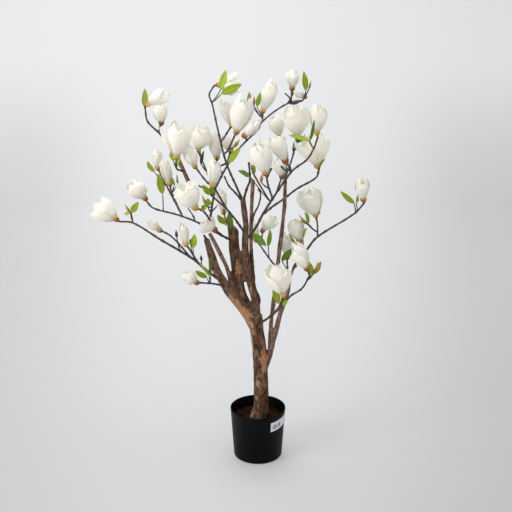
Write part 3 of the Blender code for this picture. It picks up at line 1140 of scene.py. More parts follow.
TRUNK = Limb("trunk", "", 0.0, (47, 42), (
    (0, 0, 121), (9, 0, 158), (10, 0, 210), (8, 0, 295), (4, 0, 360), (-5, 0, 440), (-7, 0, 468)))

BOUGHS = (
    Limb("bough_left", "trunk", 0.88, (38, 19),
         ((-45, -10, 495), (-75, -20, 535), (-120, -40, 620), (-150, -55, 725)),
         0.45, (-0.1, -0.35, 1.0)),
    Limb("bough_centre", "trunk", 0.94, (33, 33),
         ((-43, 0, 515), (-57, 2, 556), (-63, 6, 605), (-70, 10, 670), (-75, 15, 745)),
         0.0, (0.55, -0.35, 1.0)),
    Limb("pole_centre", "trunk", 0.94, (28, 16),
         ((-7, -5, 510), (-18, -5, 558), (-31, -10, 630), (-38, -14, 690), (-36, -15, 755),
          (-45, -15, 835)), 0.15),
    Limb("bough_right", "trunk", 0.40, (21, 12),
         ((31, 0, 322), (50, 8, 397), (70, 15, 475), (90, 20, 535), (95, 20, 580)), 0.9),
    Limb("pole_left_back", "bough_left", 0.37, (14, 13),
         ((-90, 0, 610), (-120, 20, 670), (-145, 35, 715)), 1.0),
    Limb("pole_slim_centre", "pole_centre", 0.24, (13, 11.5),
         ((-15, 10, 590), (-20, 25, 665), (-20, 40, 755), (-15, 60, 875)),
         0.9, (0.2, -0.3, 1.0)),
    Limb("pole_slim_right", "bough_right", 0.25, (14, 12),
         ((39, 17, 424), (43, 24, 462), (50, 32, 520), (60, 35, 620), (78, 45, 790),
          (80, 50, 880)), 1.0),
)

STEMS = (
    Limb("stem_lower_left", "bough_left", 0.55, (7.5, 4.8),
         ((-150, -50, 625), (-190, -60, 665), (-285, -60, 725), (-360, -50, 770),
          (-400, -45, 773))),
    Limb("stem_upper_left", "bough_centre", 0.84, (6.5, 4.5),
         ((-115, -40, 735), (-175, -10, 760), (-240, 25, 775), (-312, 45, 790), (-330, 50, 808))),
    Limb("stem_spray_left", "stem_upper_left", 0.24, (6, 5.5),
         ((-135, -62, 780), (-132, -75, 820), (-125, -75, 860))),
    Limb("stem_inner_left", "pole_centre", 0.72, (6, 5),
         ((-65, -50, 780), (-90, -75, 820), (-120, -110, 885))),
    Limb("stem_fork_left", "stem_inner_left", 0.60, (5, 4.6),
         ((-130, -55, 850), (-155, -40, 870), (-200, -20, 884))),
    Limb("pole_upper_left", "stem_fork_left", 1.0, (14, 12),
         ((-218, 0, 920), (-237, 20, 955)), 0.3),
    Limb("stem_top_left", "pole_upper_left", 0.96, (6.5, 4.2),
         ((-262, 12, 995), (-285, 0, 1025), (-313, -12, 1058), (-318, -20, 1098))),
    Limb("stem_top_centre", "pole_centre", 0.98, (6, 4.2),
         ((-60, -20, 865), (-92, -10, 940), (-118, 22, 1040), (-132, 42, 1100), (-140, 46, 1125),
          (-126, 50, 1150))),
    Limb("stem_cross_centre", "stem_inner_left", 1.0, (5.6, 4.6),
         ((-100, -75, 920), (-80, -50, 950), (-50, -40, 990), (0, -20, 1035))),
    Limb("stem_top_right", "stem_cross_centre", 1.0, (4.6, 4.4),
         ((12, 0, 1055), (60, 50, 1085), (95, 75, 1100))),
    Limb("stem_upper_right", "pole_centre", 0.67, (7, 4.6),
         ((-10, -30, 745), (15, -55, 800), (65, -55, 880), (100, -25, 920), (140, 0, 945),
          (160, 10, 975), (172, 20, 1008))),
    Limb("stem_right", "stem_upper_right", 0.28, (6.2, 5),
         ((45, 10, 805), (80, 90, 808), (120, 125, 830), (178, 152, 858), (186, 160, 880))),
    Limb("stem_cluster", "pole_slim_right", 0.49, (5.4, 4.4),
         ((25, 75, 637), (5, 135, 650))),
    Limb("stem_lower_right", "trunk", 0.90, (7, 4.4),
         ((30, -45, 475), (60, -90, 520), (95, -125, 575), (125, -140, 602), (146, -150, 645))),
    Limb("stem_far_right", "bough_right", 1.0, (7, 4.4),
         ((112, 25, 620), (145, 25, 665), (175, 10, 710), (280, -20, 790), (308, -20, 822))),
)

WOODEN = (TRUNK, *BOUGHS, *(limb for limb in STEMS if limb.name == "pole_upper_left"))
MOULDED = tuple(limb for limb in STEMS if limb not in WOODEN)


class Skeleton:
    """The centrelines of the trunk, the boughs, the stems and what is added to them."""

    step: float = 5.0

    def __init__(self) -> None:
        """Lays every limb on its parent."""
        self.paths: dict[str, Path] = {TRUNK.name: Path(TRUNK.stops, self.step)}
        for limb in (*BOUGHS, *STEMS):
            self.grow(limb.name, limb.parent, limb.along, limb.stops, self.step)

    def foot(self, parent: str, along: float) -> Place:
        """The place on a limb where something is set, in millimetres."""
        return tuple(self.paths[parent].place(along) / MM)

    def grow(self, name: str, parent: str, along: float, stops: Sequence[Place],
             step: float) -> Path:
        """Adds a centreline that starts on a limb.

        Args:
            name: The new centreline's name.
            parent: The limb that carries it.
            along: Where it starts, as a share of the parent's length.
            stops: The places that it passes through, in millimetres.
            step: The distance between its points, in millimetres.

        Returns:
            The new centreline.
        """
        self.paths[name] = Path((self.foot(parent, along), *stops), step)
        return self.paths[name]


class MarkKind(Enum):
    """What a mark on the bark shows."""

    BARE = "bare"
    KNOT = "knot"
    FLAKE = "flake"


@dataclass(frozen=True)
class Mark:
    """A mark on the wood; length runs along the limb, width across it, in millimetres."""

    place: Place
    length: float
    width: float
    swell: float = 0.0


@dataclass
class Woodwork:
    """The trunk, the boughs and the cut poles as one grown-together mesh.

    slow, swells, plates and furrows are the bark's relief: each has its size in metres
    and its height in millimetres.
    """

    bones: Skeleton
    voxel: float = 1.75
    root_flare: float = 3.4
    flare_height: float = 20.0
    sunk: float = 8.0
    unevenness: float = 0.055
    uneven_length: float = 34.0
    thick_sides: int = 26
    slim_sides: int = 16
    slim: float = 20.0
    saw_drop: float = 0.45
    smoothing: int = 5
    grain_squeeze: float = 0.46
    limb_shift: float = 0.37
    mark_edge: float = 1.25
    slow: tuple[float, float] = (0.046, 1.5)
    swells: tuple[float, float] = (0.017, 1.15)
    plates: tuple[float, float] = (0.0062, 0.75)
    furrows: tuple[float, float] = (0.0036, 0.9)
    burl: tuple[Place, ...] = ((-38, -8, 578), (-43, -9, 628), (-49, -8, 672))
    burl_step: float = 6.0
    burl_thick: tuple[float, float] = (15.0, 20.0)
    marks: dict[MarkKind, tuple[Mark, ...]] = field(default_factory=lambda: {
        MarkKind.BARE: (
            Mark((19, -16, 318), 62, 14), Mark((-20, -13, 382), 46, 9),
            Mark((-46, -30, 482), 60, 24), Mark((-32, -26, 458), 42, 19),
            Mark((-66, -30, 510), 44, 17), Mark((-59, -10, 620), 36, 11),
            Mark((-8, 22, 300), 60, 16), Mark((-70, 22, 560), 46, 14), Mark((8, 14, 500), 40, 12),
        ),
        MarkKind.KNOT: (
            Mark((14, -21, 191), 22, 15, 3.4), Mark((22, -16, 277), 12, 7, 0.6),
            Mark((8, -8, 528), 19, 15, 7.5), Mark((-27, -18, 566), 8, 5, 0.8),
            Mark((0, -22, 401), 11, 7, 1.4), Mark((-45, -10, 639), 10, 8, 1.8),
            Mark((20, 18, 390), 14, 11, 3.0),
        ),
        MarkKind.FLAKE: (
            Mark((-1, -23, 197), 16, 11, 1.2), Mark((-21, -12, 142), 20, 12, 3.5),
            Mark((-9, -24, 203), 15, 10, 1.0), Mark((-22, -14, 418), 22, 9, 1.2),
            Mark((-26, -22, 444), 16, 7, 0.8), Mark((-18, -20, 472), 14, 6, 0.8),
            Mark((-24, -18, 554), 24, 9, 0.4), Mark((-2, -22, 250), 18, 10, 0.5),
        ),
    })

    def build(self) -> None:
        """Grows the limbs together, heaves the bark and dresses it."""
        mesh = self._grown_together()
        neighbours = np.empty(len(mesh.edges) * 2, np.int64)
        mesh.edges.foreach_get("vertices", neighbours)
        pairs = neighbours.reshape(-1, 2)
        self._write(mesh, self._smoothed(self._read(mesh)[0], pairs, self.smoothing))
        points, normals = self._read(mesh)
        layers, ways = self._layers(points, normals)
        swell = self._marked(points, ways, layers)
        points = points + normals * self._relief(points, layers, swell)[:, None]
        points = self._smoothed(points, pairs, 1)
        points[:, 2] = np.maximum(points[:, 2], (NurseryPot.fill_level - self.sunk) * MM)
        self._write(mesh, points)
        for name, values in layers.items():
            kind = "FLOAT_VECTOR" if values.ndim == 2 else "FLOAT"
            layer = mesh.attributes.new(name, kind, "POINT")
            key = "vector" if values.ndim == 2 else "value"
            layer.data.foreach_set(key, values.astype(np.float32).ravel())
        show(mesh, Bark(), [limb.name for limb in WOODEN])

    def _thickness(self, limb: Limb, path: Path) -> Callable[[float], float]:
        """How thick a limb is, with the trunk's flare and a slow unevenness.

        Args:
            limb: The limb.
            path: Its centreline.

        Returns:
            Its radius in metres at a share of its length.
        """
        foot, tip = limb.thick
        start = Vector((len(limb.name) * 3.7, limb.along * 9, limb.thick[0]))

        def radius(share: float) -> float:
            """The radius in metres at this share of the limb.

            Args:
                share: From 0 at the foot to 1 at the tip.

            Returns:
                The radius.
            """
            height = share * path.length / MM
            flare = self.root_flare * math.exp(-height / self.flare_height)
            size = (foot + (tip - foot) * share) / 2 + (flare if limb is TRUNK else 0.0)
            uneven = noise.noise(start + Vector((height / self.uneven_length, 0, 0)))
            return size * (1 + self.unevenness * uneven) * MM

        return radius

    def _grown_together(self) -> bpy.types.Mesh:
        """Draws each limb as a tube, saws its tip and melts the tubes into one skin.

        Returns:
            A new mesh of the trunk, the boughs, the poles and the burl over the fork.
        """
        blank = bmesh.new()
        for limb in WOODEN:
            path = self.bones.paths[limb.name]
            sides = self.thick_sides if limb.thick[0] > self.slim else self.slim_sides
            part = tube(path, self._thickness(limb, path), sides)
            if limb.slant:
                self._saw(part, path, Vector(limb.slant).normalized(), limb.thick[1] / 2 * MM)
            join(blank, part)
        low, high = self.burl_thick
        join(blank, tube(Path(self.burl, self.burl_step),
                         lambda share: (low + (high - low) * share) / 2 * MM, self.slim_sides))
        mesh = bpy.data.meshes.new("blank")
        blank.to_mesh(mesh)
        blank.free()
        holder = bpy.data.objects.new("blank", mesh)
        bpy.context.scene.collection.objects.link(holder)
        melt = holder.modifiers.new("melt", "REMESH")
        melt.mode = "VOXEL"
        melt.voxel_size = self.voxel * MM
        graph = bpy.context.evaluated_depsgraph_get()
        grown = bpy.data.meshes.new_from_object(holder.evaluated_get(graph))
        bpy.data.objects.remove(holder)
        grown.name = "bark_and_wood"
        return grown

    def _saw(self, part: bmesh.types.BMesh, path: Path, slant: Vector, radius: float) -> None:
        """Saws the tip off at a slant and closes the cut.

        Args:
            part: The limb's tube.
            path: The limb's centreline.
            slant: The way that the cut faces.
            radius: The radius of the limb's tip, in metres.
        """
        drop = path.way(1.0) * radius * self.saw_drop
        geom = [*part.verts, *part.edges, *part.faces]
        cut = bmesh.ops.bisect_plane(part, geom=geom, plane_co=path.points[-1] - drop,
                                     plane_no=slant, clear_outer=True)["geom_cut"]
        rim = [item for item in cut if isinstance(item, bmesh.types.BMEdge)]
        bmesh.ops.contextual_create(part, geom=rim)
        bmesh.ops.recalc_face_normals(part, faces=part.faces)

    @staticmethod
    def _read(mesh: bpy.types.Mesh) -> tuple[np.ndarray, np.ndarray]:
        """Reads a mesh.

        Args:
            mesh: The mesh.

        Returns:
            Its points and their normals, one row each.
        """
        count = len(mesh.vertices)
        points = np.empty(count * 3)
        normals = np.empty(count * 3)
        mesh.vertices.foreach_get("co", points)
        mesh.vertices.foreach_get("normal", normals)
        return points.reshape(-1, 3), normals.reshape(-1, 3)

    @staticmethod
    def _write(mesh: bpy.types.Mesh, points: np.ndarray) -> None:
        """Moves the mesh's points."""
        mesh.vertices.foreach_set("co", points.astype(np.float32).ravel())
        mesh.update()

    @staticmethod
    def _smoothed(points: np.ndarray, pairs: np.ndarray, rounds: int) -> np.ndarray:
        """Moves each point halfway to the middle of its neighbours, several times.

        Args:
            points: The points, one row each.
            pairs: The two points of each edge.
            rounds: The number of times.

        Returns:
            The moved points.
        """
        count = len(points)
        links = np.bincount(pairs.ravel(), minlength=count)[:, None]
        for _ in range(rounds):
            total = np.zeros_like(points)
            for axis in range(3):
                total[:, axis] = (
                    np.bincount(pairs[:, 0], points[pairs[:, 1], axis], count)
                    + np.bincount(pairs[:, 1], points[pairs[:, 0], axis], count))
            points = points * 0.5 + total / np.maximum(links, 1) * 0.5
        return points

    def _layers(self, points: np.ndarray,
                normals: np.ndarray) -> tuple[dict[str, np.ndarray], np.ndarray]:
        """Finds the limb that each point lies on, and what the bark is like there.

        Args:
            points: The points, one row each.
            normals: Their normals.

        Returns:
            The layers, with the grain's place on the limb, its warmth and the sawn ends,
            and the way that the limb runs at each point.
        """
        count = len(points)
        best = np.full(count, np.inf)
        grain = np.zeros((count, 3))
        ways = np.zeros((count, 3))
        warm = np.zeros(count)
        cut = np.zeros(count)
        for number, limb in enumerate(WOODEN):
            path = self.bones.paths[limb.name]
            line = np.array([tuple(point) for point in path.points])
            turns = np.array([[tuple(row) for row in turn] for turn in path.frames])
            gaps = ((points ** 2).sum(1)[:, None] + (line ** 2).sum(1)[None]
                    - 2 * points @ line.T)
            near = gaps.argmin(1)
            foot, tip = (thick / 2 * MM for thick in limb.thick)
            radii = np.linspace(foot, tip, len(line))
            offset = points - line[near]
            local = np.einsum("nij,ni->nj", turns[near], offset)
            across = np.hypot(local[:, 0], local[:, 1])
            beyond = np.where(near == 0, np.maximum(-local[:, 2], 0), 0)
            score = across - radii[near] + beyond
            chosen = score < best
            best = np.where(chosen, score, best)
            run = near * (path.length / (len(line) - 1)) + local[:, 2]
            own = np.stack([local[:, 0], local[:, 1], run * self.grain_squeeze], 1)
            grain[chosen] = own[chosen] + number * self.limb_shift
            ways[chosen] = turns[near][chosen][:, :, 2]
            warm[chosen] = limb.warm
            top = (run > path.length - 0.55 * tip - 1.5 * MM) & chosen
            facing = (normals * turns[near][:, :, 2]).sum(1)
            cut = np.where(chosen, np.where(top, np.clip((facing - 0.45) / 0.3, 0, 1), 0), cut)
        return {"grain": grain, "warm": warm, "cut": cut}, ways

    def _marked(self, points: np.ndarray, ways: np.ndarray,
                layers: dict[str, np.ndarray]) -> np.ndarray:
        """Adds a layer for each kind of mark.

        Args:
            points: The points, one row each.
            ways: The way that the limb runs at each point.
            layers: The layers, which gain a share from 0 to 1 for each kind of mark.

        Returns:
            How far the marks make each point stand out, in metres.
        """
        swell = np.zeros(len(points))
        for kind, marks in self.marks.items():
            layer = np.zeros(len(points))
            for mark in marks:
                offset = points - np.array(mark.place) * MM
                run = (offset * ways).sum(1)
                across = np.linalg.norm(offset - ways * run[:, None], axis=1)
                far = np.hypot(run / (mark.length * MM), across / (mark.width * MM))
                layer = np.maximum(layer, np.clip(self.mark_edge - far, 0, 1))
                bulge = np.exp(-(far * 1.1) ** 2) - 0.55 * np.exp(-(far * 2.6) ** 2)
                swell = np.maximum(swell, bulge * mark.swell * MM)
            layers[kind.value] = layer
        return swell

    def _relief(self, points: np.ndarray, layers: dict[str, np.ndarray],
                mark_swell: np.ndarray) -> np.ndarray:
        """Heaves the bark: slow swells, plates and furrows, and the marks over them.

        Args:
            points: The points, one row each.
            layers: The bark's layers.
            mark_swell: How far the marks stand out, in metres.

        Returns:
            How far each point stands out, in metres.
        """
        out = np.empty(len(points))
        bare = layers["bare"]
        cut = layers["cut"]
        warm = layers["warm"]
        for index, (grain, point) in enumerate(zip(layers["grain"], points)):
            where = Vector(grain)
            slow = noise.noise(Vector(point) / self.slow[0])
            swell = noise.noise(where / self.swells[0])
            plate = noise.noise(where / self.plates[0])
            furrow = abs(noise.noise(where / self.furrows[0] + Vector((5, 1, 9))))
            rough = (1 - 0.65 * min(1.0, bare[index] * 1.4)) * (1 - 0.5 * warm[index])
            out[index] = (slow * self.slow[1] + swell * self.swells[1] * rough
                          + plate * self.plates[1] * rough
                          - furrow * self.furrows[1] * rough) * (1 - cut[index])
        return out * MM + mark_swell * (1 - cut)


@dataclass(frozen=True)
class Bloom:
    """One blossom: its stalk bends once where bend is given; sizes in millimetres."""

    name: str
    limb: str
    along: float
    bend: Place | None
    calyx: Place
    tip: Place
    width: float
    opening: float = 0.25
    twist: float = 0.0


BLOOMS = (
    Bloom("blossom_far_left", "stem_lower_left", 1.0, None, (-408, -52, 782),
          (-464, -26, 819), 58, 0.62, 2.1),
    Bloom("blossom_low_bud", "stem_lower_left", 0.36, (-250, -40, 725), (-290, 0, 735),
          (-320, 0, 760), 32, 0.2),
    Bloom("blossom_low_front", "stem_lower_left", 0.28, (-190, -85, 690), (-205, -110, 725),
          (-215, -110, 785), 30, 0.25),
    Bloom("blossom_lowest_left", "bough_left", 0.50, (-125, -88, 597), (-175, -140, 620),
          (-210, -140, 645), 40, 0.2),
    Bloom("blossom_upper_left", "stem_upper_left", 1.0, None, (-335, 50, 818),
          (-380, 50, 865), 50, 0.3),
    Bloom("blossoms_left_back", "stem_upper_left", 0.63, (-258, 75, 830), (-265, 100, 850),
          (-285, 100, 930), 36, 0.15),
    Bloom("blossoms_left_back", "stem_upper_left", 0.63, (-275, 110, 840), (-310, 190, 880),
          (-310, 190, 935), 30, 0.3),
    Bloom("blossom_inner_low", "stem_upper_left", 0.18, None, (-125, -62, 755),
          (-160, -62, 780), 42, 0.9),
    Bloom("blossom_left_front", "stem_spray_left", 0.30, (-150, -150, 830), (-170, -200, 855),
          (-210, -200, 915), 60, 0.5),
    Bloom("blossom_open_left", "pole_upper_left", 0.40, (-232, -45, 930), (-230, -60, 965),
          (-225, -60, 1055), 64, 0.6),
    Bloom("blossom_top_left", "stem_top_left", 1.0, None, (-310, -20, 1108),
          (-255, -20, 1140), 36, 0.6),
    Bloom("blossom_top_left_low", "stem_top_left", 0.50, None, (-280, 40, 1045),
          (-280, 40, 1100), 44, 0.15),
    Bloom("blossom_inner_left", "stem_inner_left", 1.0, None, (-125, -125, 902),
          (-120, -125, 966), 40, 0.2),
    Bloom("blossoms_crown_left", "stem_inner_left", 1.0, (-150, -80, 905), (-180, -40, 935),
          (-200, -40, 990), 42, 0.3),
    Bloom("blossoms_crown_left", "stem_inner_left", 1.0, (-150, 0, 915), (-180, 100, 955),
          (-160, 100, 1020), 56, 0.7),
    Bloom("blossoms_centre_back", "stem_top_centre", 0.34, (-120, 70, 912), (-123, 110, 928),
          (-128, 110, 1000), 40, 0.3),
    Bloom("blossoms_centre_back", "stem_top_centre", 0.34, (-90, 90, 925), (-83, 150, 940),
          (-98, 150, 985), 32, 0.3),
    Bloom("blossom_top_centre", "stem_top_centre", 1.0, None, (-113, 58, 1152),
          (-52, 60, 1148), 46, 0.7),
    Bloom("blossom_centre_front", "stem_top_centre", 0.42, (-85, -60, 985), (-60, -110, 1045),
          (-35, -110, 1135), 60, 0.28),
    Bloom("blossom_centre_high", "stem_top_centre", 0.52, (-95, 60, 1005), (-77, 90, 1030),
          (-97, 90, 1100), 42, 0.5),
    Bloom("blossom_cross", "stem_cross_centre", 0.80, None, (-38, -48, 1024),
          (5, -48, 1062), 30, 0.2),
    Bloom("blossom_back_top", "stem_top_right", 0.20, None, (14, 60, 1076),
          (44, 60, 1160), 42, 0.35),
    Bloom("blossoms_top_right", "stem_top_right", 1.0, None, (100, 110, 1135),
          (100, 110, 1190), 40, 0.2),
    Bloom("blossoms_top_right", "stem_top_right", 1.0, (130, 115, 1098), (138, 146, 1105),
          (110, 150, 1117), 26, 0.2),
    Bloom("blossoms_right_back", "pole_slim_right", 1.0, (88, 160, 935), (67, 240, 972),
          (47, 240, 1028), 44, 0.3),
    Bloom("blossoms_right_back", "pole_slim_right", 1.0, (105, 130, 930), (121, 200, 976),
          (116, 200, 1068), 74, 0.55),
    Bloom("blossom_upper_right", "stem_upper_right", 1.0, None, (170, 25, 1020),
          (175, 25, 1095), 50, 0.5),
    Bloom("blossom_open_right", "stem_right", 1.0, None, (181, 160, 892),
          (165, 160, 985), 78, 0.75),
    Bloom("blossom_right_front", "stem_upper_right", 0.57, (92, -75, 928), (75, -138, 970),
          (45, -138, 1040), 44, 0.3),
    Bloom("blossom_right_inner", "stem_upper_right", 0.47, None, (68, -28, 902),
          (60, -25, 955), 36, 0.3),
    Bloom("blossom_middle_front", "stem_upper_right", 0.42, (28, -150, 903), (20, -200, 950),
          (0, -200, 1035), 62, 0.25),
    Bloom("blossom_middle_back", "bough_centre", 0.97, (-95, 60, 750), (-105, 110, 760),
          (-115, 110, 832), 32, 0.3),
    Bloom("blossoms_cluster", "stem_cluster", 1.0, (12, 170, 660), (15, 200, 676),
          (50, 200, 724), 42, 0.4),
    Bloom("blossoms_cluster", "stem_cluster", 1.0, None, (-5, 165, 655),
          (-20, 172, 715), 30, 0.3),
    Bloom("blossom_lower_front", "stem_lower_right", 0.34, (63, -160, 560), (70, -200, 605),
          (40, -200, 690), 62, 0.52),
    Bloom("blossom_lower_right", "stem_lower_right", 1.0, None, (136, -160, 668),
          (105, -160, 735), 50, 0.2),
    Bloom("blossom_right_mid", "stem_far_right", 0.28, None, (125, 50, 687),
          (105, 50, 750), 46, 0.3),
    Bloom("blossom_right_low_back", "bough_right", 1.0, (90, 80, 600), (90, 110, 616),
          (85, 110, 690), 32, 0.3),
    Bloom("blossom_wide_right", "stem_far_right", 0.47, (180, 85, 728), (176, 110, 750),
          (154, 110, 830), 64, 0.55),
    Bloom("blossom_far_right", "stem_far_right", 1.0, None, (305, -20, 832),
          (297, -20, 890), 42, 0.35),
)


class BudKind(Enum):
    """The two sorts of bud."""

    AMBER = BudSkin("bud_amber", (0.300, 0.110, 0.030), (0.520, 0.330, 0.100))
    DARK = BudSkin("bud_dark", (0.050, 0.030, 0.022), (0.085, 0.045, 0.036))


class LeafTint(Enum):
    """The three greens that the leaves are printed in."""

    LIME = LeafCloth("leaf_lime", (0.345, 0.460, 0.030), (0.560, 0.640, 0.130))
    GREEN = LeafCloth("leaf_green", (0.225, 0.325, 0.005), (0.440, 0.510, 0.040))
    DARK = LeafCloth("leaf_dark", (0.085, 0.185, 0.006), (0.230, 0.350, 0.040))


@dataclass(frozen=True)
class Sprout:
    """What grows on its own short twig.

    limb and along say where the twig starts. base is the sprout's foot from there, and
    tip its tip from its foot, in millimetres. width is what shows from the front.
    """

    limb: str
    along: float
    base: Place
    tip: Place
    width: float


@dataclass(frozen=True)
class Leaf(Sprout):
    """A leaf of one green."""

    tint: LeafTint = LeafTint.GREEN


@dataclass(frozen=True)
class Bud(Sprout):
    """A pointed bud."""

    kind: BudKind = BudKind.AMBER


@dataclass(frozen=True)
class Twig:
    """A bare twig or stub; each stop is measured from the one before."""

    limb: str
    along: float
    stops: tuple[Place, ...]
    thick: float = 4.0


LEAVES = (
    Leaf("stem_lower_left", 0.89, (-3, -4, 33), (22, -18, 33), 18),
    Leaf("stem_lower_left", 0.89, (-5, 2, 29), (-23, 22, -6), 14),
    Leaf("stem_upper_left", 0.82, (-1, 4, 52), (-10, -12, 62), 21),
    Leaf("blossoms_left_back_2", 0.56, (-37, 0, 46), (-20, -14, 34), 12),
    Leaf("blossoms_left_back", 0.72, (10, -6, 30), (-11, -22, 20), 9),
    Leaf("blossoms_left_back", 0.72, (20, 4, 28), (-7, 24, 24), 9, LeafTint.DARK),
    Leaf("blossom_open_left", 0.60, (-7, -6, 19), (-3, -12, 36), 15),
    Leaf("blossom_open_left", 0.60, (3, 8, 4), (6, 14, 30), 11, LeafTint.LIME),
    Leaf("blossom_left_front", 0.85, (4, -2, -2), (17, -26, 18), 14),
    Leaf("blossom_left_front", 0.94, (-3, 4, -4), (-18, 20, 4), 9),
    Leaf("stem_spray_left", 0.74, (-12, -10, 4), (2, -14, 26), 18),
    Leaf("stem_fork_left", 0.42, (-1, -6, 3), (-22, -20, 32), 17),
    Leaf("stem_fork_left", 0.38, (3, 5, -1), (-10, 12, 30), 17, LeafTint.DARK),
    Leaf("stem_lower_left", 0.33, (-2, 4, 33), (5, 10, 40), 18),
    Leaf("blossom_low_front", 0.53, (-2, -6, 22), (1, -14, 26), 9),
    Leaf("blossom_lowest_left", 0.63, (-10, -4, 19), (-31, -18, 26), 15),
    Leaf("blossom_lowest_left", 0.63, (-3, 2, 21), (-29, 14, 38), 9, LeafTint.LIME),
    Leaf("blossom_lowest_left", 0.63, (0, 6, 21), (-1, 10, 58), 9, LeafTint.DARK),
    Leaf("bough_centre", 0.99, (-24, -20, 12), (-18, -22, 32), 15),
    Leaf("bough_centre", 0.98, (-4, -24, 2), (-6, -16, 55), 18, LeafTint.DARK),
    Leaf("bough_centre", 0.99, (-22, 14, 8), (-26, 18, 16), 15),
    Leaf("stem_top_centre", 0.85, (26, 4, 36), (15, -8, 56), 20, LeafTint.LIME),
    Leaf("stem_top_centre", 0.85, (28, -6, 26), (57, -14, 29), 22),
    Leaf("stem_cross_centre", 0.36, (6, -6, 12), (33, -10, 48), 17),
    Leaf("blossom_back_top", 0.54, (-17, 4, 27), (12, 10, 38), 14),
    Leaf("blossom_back_top", 0.31, (-40, -10, 50), (3, -18, 28), 11, LeafTint.LIME),
    Leaf("blossoms_top_right_2", 0.84, (6, 4, 23), (-6, 8, 55), 18),
    Leaf("stem_upper_right", 0.91, (-12, -10, 23), (12, -14, 64), 10, LeafTint.DARK),
    Leaf("stem_upper_right", 0.91, (-14, 8, 21), (-56, 18, 16), 14),
    Leaf("stem_right", 0.98, (5, -4, 18), (12, -22, 28), 8, LeafTint.LIME),
    Leaf("stem_upper_right", 0.06, (9, -12, 9), (39, -18, -32), 20, LeafTint.DARK),
    Leaf("stem_cluster", 0.35, (-3, -4, 38), (7, -14, 56), 13),
    Leaf("blossom_right_low_back", 0.42, (-20, -16, 34), (34, -22, 46), 19, LeafTint.DARK),
    Leaf("stem_far_right", 0.27, (-28, 6, 28), (-19, 24, 22), 9),
    Leaf("blossom_lower_front", 0.71, (-6, -8, 2), (-16, -14, 58), 20),
    Leaf("blossom_lower_front", 0.71, (4, -10, 0), (14, -22, 18), 12),
    Leaf("stem_lower_right", 0.96, (12, -4, 12), (-10, -10, 42), 15),
    Leaf("stem_lower_right", 0.94, (19, 6, 17), (22, 14, 32), 15),
    Leaf("blossom_wide_right", 0.27, (-28, -6, 28), (-9, -14, 40), 12),
    Leaf("blossom_wide_right", 0.27, (-30, 8, 22), (-22, 16, 8), 8, LeafTint.DARK),
    Leaf("blossom_right_mid", 0.38, (-1, -6, 40), (9, -16, 26), 10),
    Leaf("stem_far_right", 0.89, (-6, -6, 28), (-42, -16, 38), 14),
    Leaf("stem_far_right", 0.91, (-4, 6, 22), (8, 20, 24), 10, LeafTint.LIME),
    Leaf("stem_top_left", 0.97, (-2, -4, 10), (5, -12, 50), 16, LeafTint.LIME),
    Leaf("stem_upper_right", 0.39, (-58, -6, 76), (-32, -12, 20), 14, LeafTint.DARK),
    Leaf("stem_upper_right", 0.39, (-48, 6, 78), (0, 10, 34), 12),
    Leaf("blossoms_right_back", 0.70, (-4, 12, 18), (-10, 44, 10), 16),
    Leaf("blossoms_right_back_2", 0.70, (4, 12, 18), (8, 44, 10), 16, LeafTint.DARK),
    Leaf("blossom_open_right", 0.70, (2, 14, 20), (10, 46, 8), 17),
    Leaf("blossoms_crown_left_2", 0.80, (-2, 12, 20), (-8, 44, 8), 16),
    Leaf("blossoms_centre_back", 0.80, (-2, 12, 16), (-8, 42, 8), 16, LeafTint.LIME),
    Leaf("blossoms_centre_back_2", 0.80, (2, 12, 14), (8, 40, 8), 16),
    Leaf("blossoms_cluster", 0.80, (4, 14, 10), (8, 42, 2), 16, LeafTint.DARK),
    Leaf("blossom_middle_back", 0.80, (-2, 12, 16), (-4, 44, 4), 16),
    Leaf("blossom_wide_right", 0.85, (2, 14, 16), (8, 46, 6), 17),
    Leaf("blossoms_left_back_2", 0.85, (-2, 14, 16), (-8, 44, 6), 16, LeafTint.DARK),
    Leaf("blossom_upper_left", 0.90, (-2, 10, 12), (-6, 44, 10), 16),
    Leaf("blossom_right_mid", 0.80, (2, 12, 14), (6, 42, 6), 16, LeafTint.LIME),
    Leaf("blossom_far_right", 0.85, (0, 12, 12), (-4, 42, 6), 16),
    Leaf("blossom_middle_front", 0.90, (2, 14, 18), (6, 46, 4), 16),
)

BUDS = (
    Bud("stem_lower_left", 0.89, (-7, 0, 31), (-16, -4, 28), 7),
    Bud("stem_spray_left", 0.61, (-10, -4, 19), (-15, -6, 37), 8),
    Bud("bough_centre", 0.99, (-16, -18, 12), (-9, -4, 28), 8),
    Bud("blossom_centre_front", 0.48, (16, -4, 6), (16, -6, 24), 10),
    Bud("blossom_back_top", 0.31, (-25, 0, 37), (0, -4, 30), 8),
    Bud("blossoms_top_right_2", 0.84, (15, 0, 29), (6, -4, 24), 6),
    Bud("stem_far_right", 0.27, (-26, -2, 20), (12, -4, 14), 8),
    Bud("stem_lower_right", 0.96, (17, -2, 17), (10, -4, 38), 8),
    Bud("blossom_wide_right", 0.27, (-32, -2, 27), (-25, -4, 30), 7),
    Bud("blossom_middle_front", 0.50, (-22, 0, 18), (4, 4, 26), 9),
    Bud("stem_upper_right", 0.39, (-52, -2, 92), (-4, -4, 22), 6),
    Bud("stem_lower_left", 0.46, (-8, -4, 42), (-2, 2, 22), 9, BudKind.DARK),
    Bud("stem_lower_left", 0.25, (2, -4, 17), (-1, -4, 18), 8, BudKind.DARK),
    Bud("blossoms_crown_left_2", 0.48, (-16, -8, 24), (10, -4, 40), 10, BudKind.DARK),
    Bud("stem_top_right", 0.97, (3, -2, -3), (36, 0, 11), 12, BudKind.DARK),
    Bud("blossoms_right_back_2", 0.62, (12, 6, 30), (16, 10, 14), 12, BudKind.DARK),
)

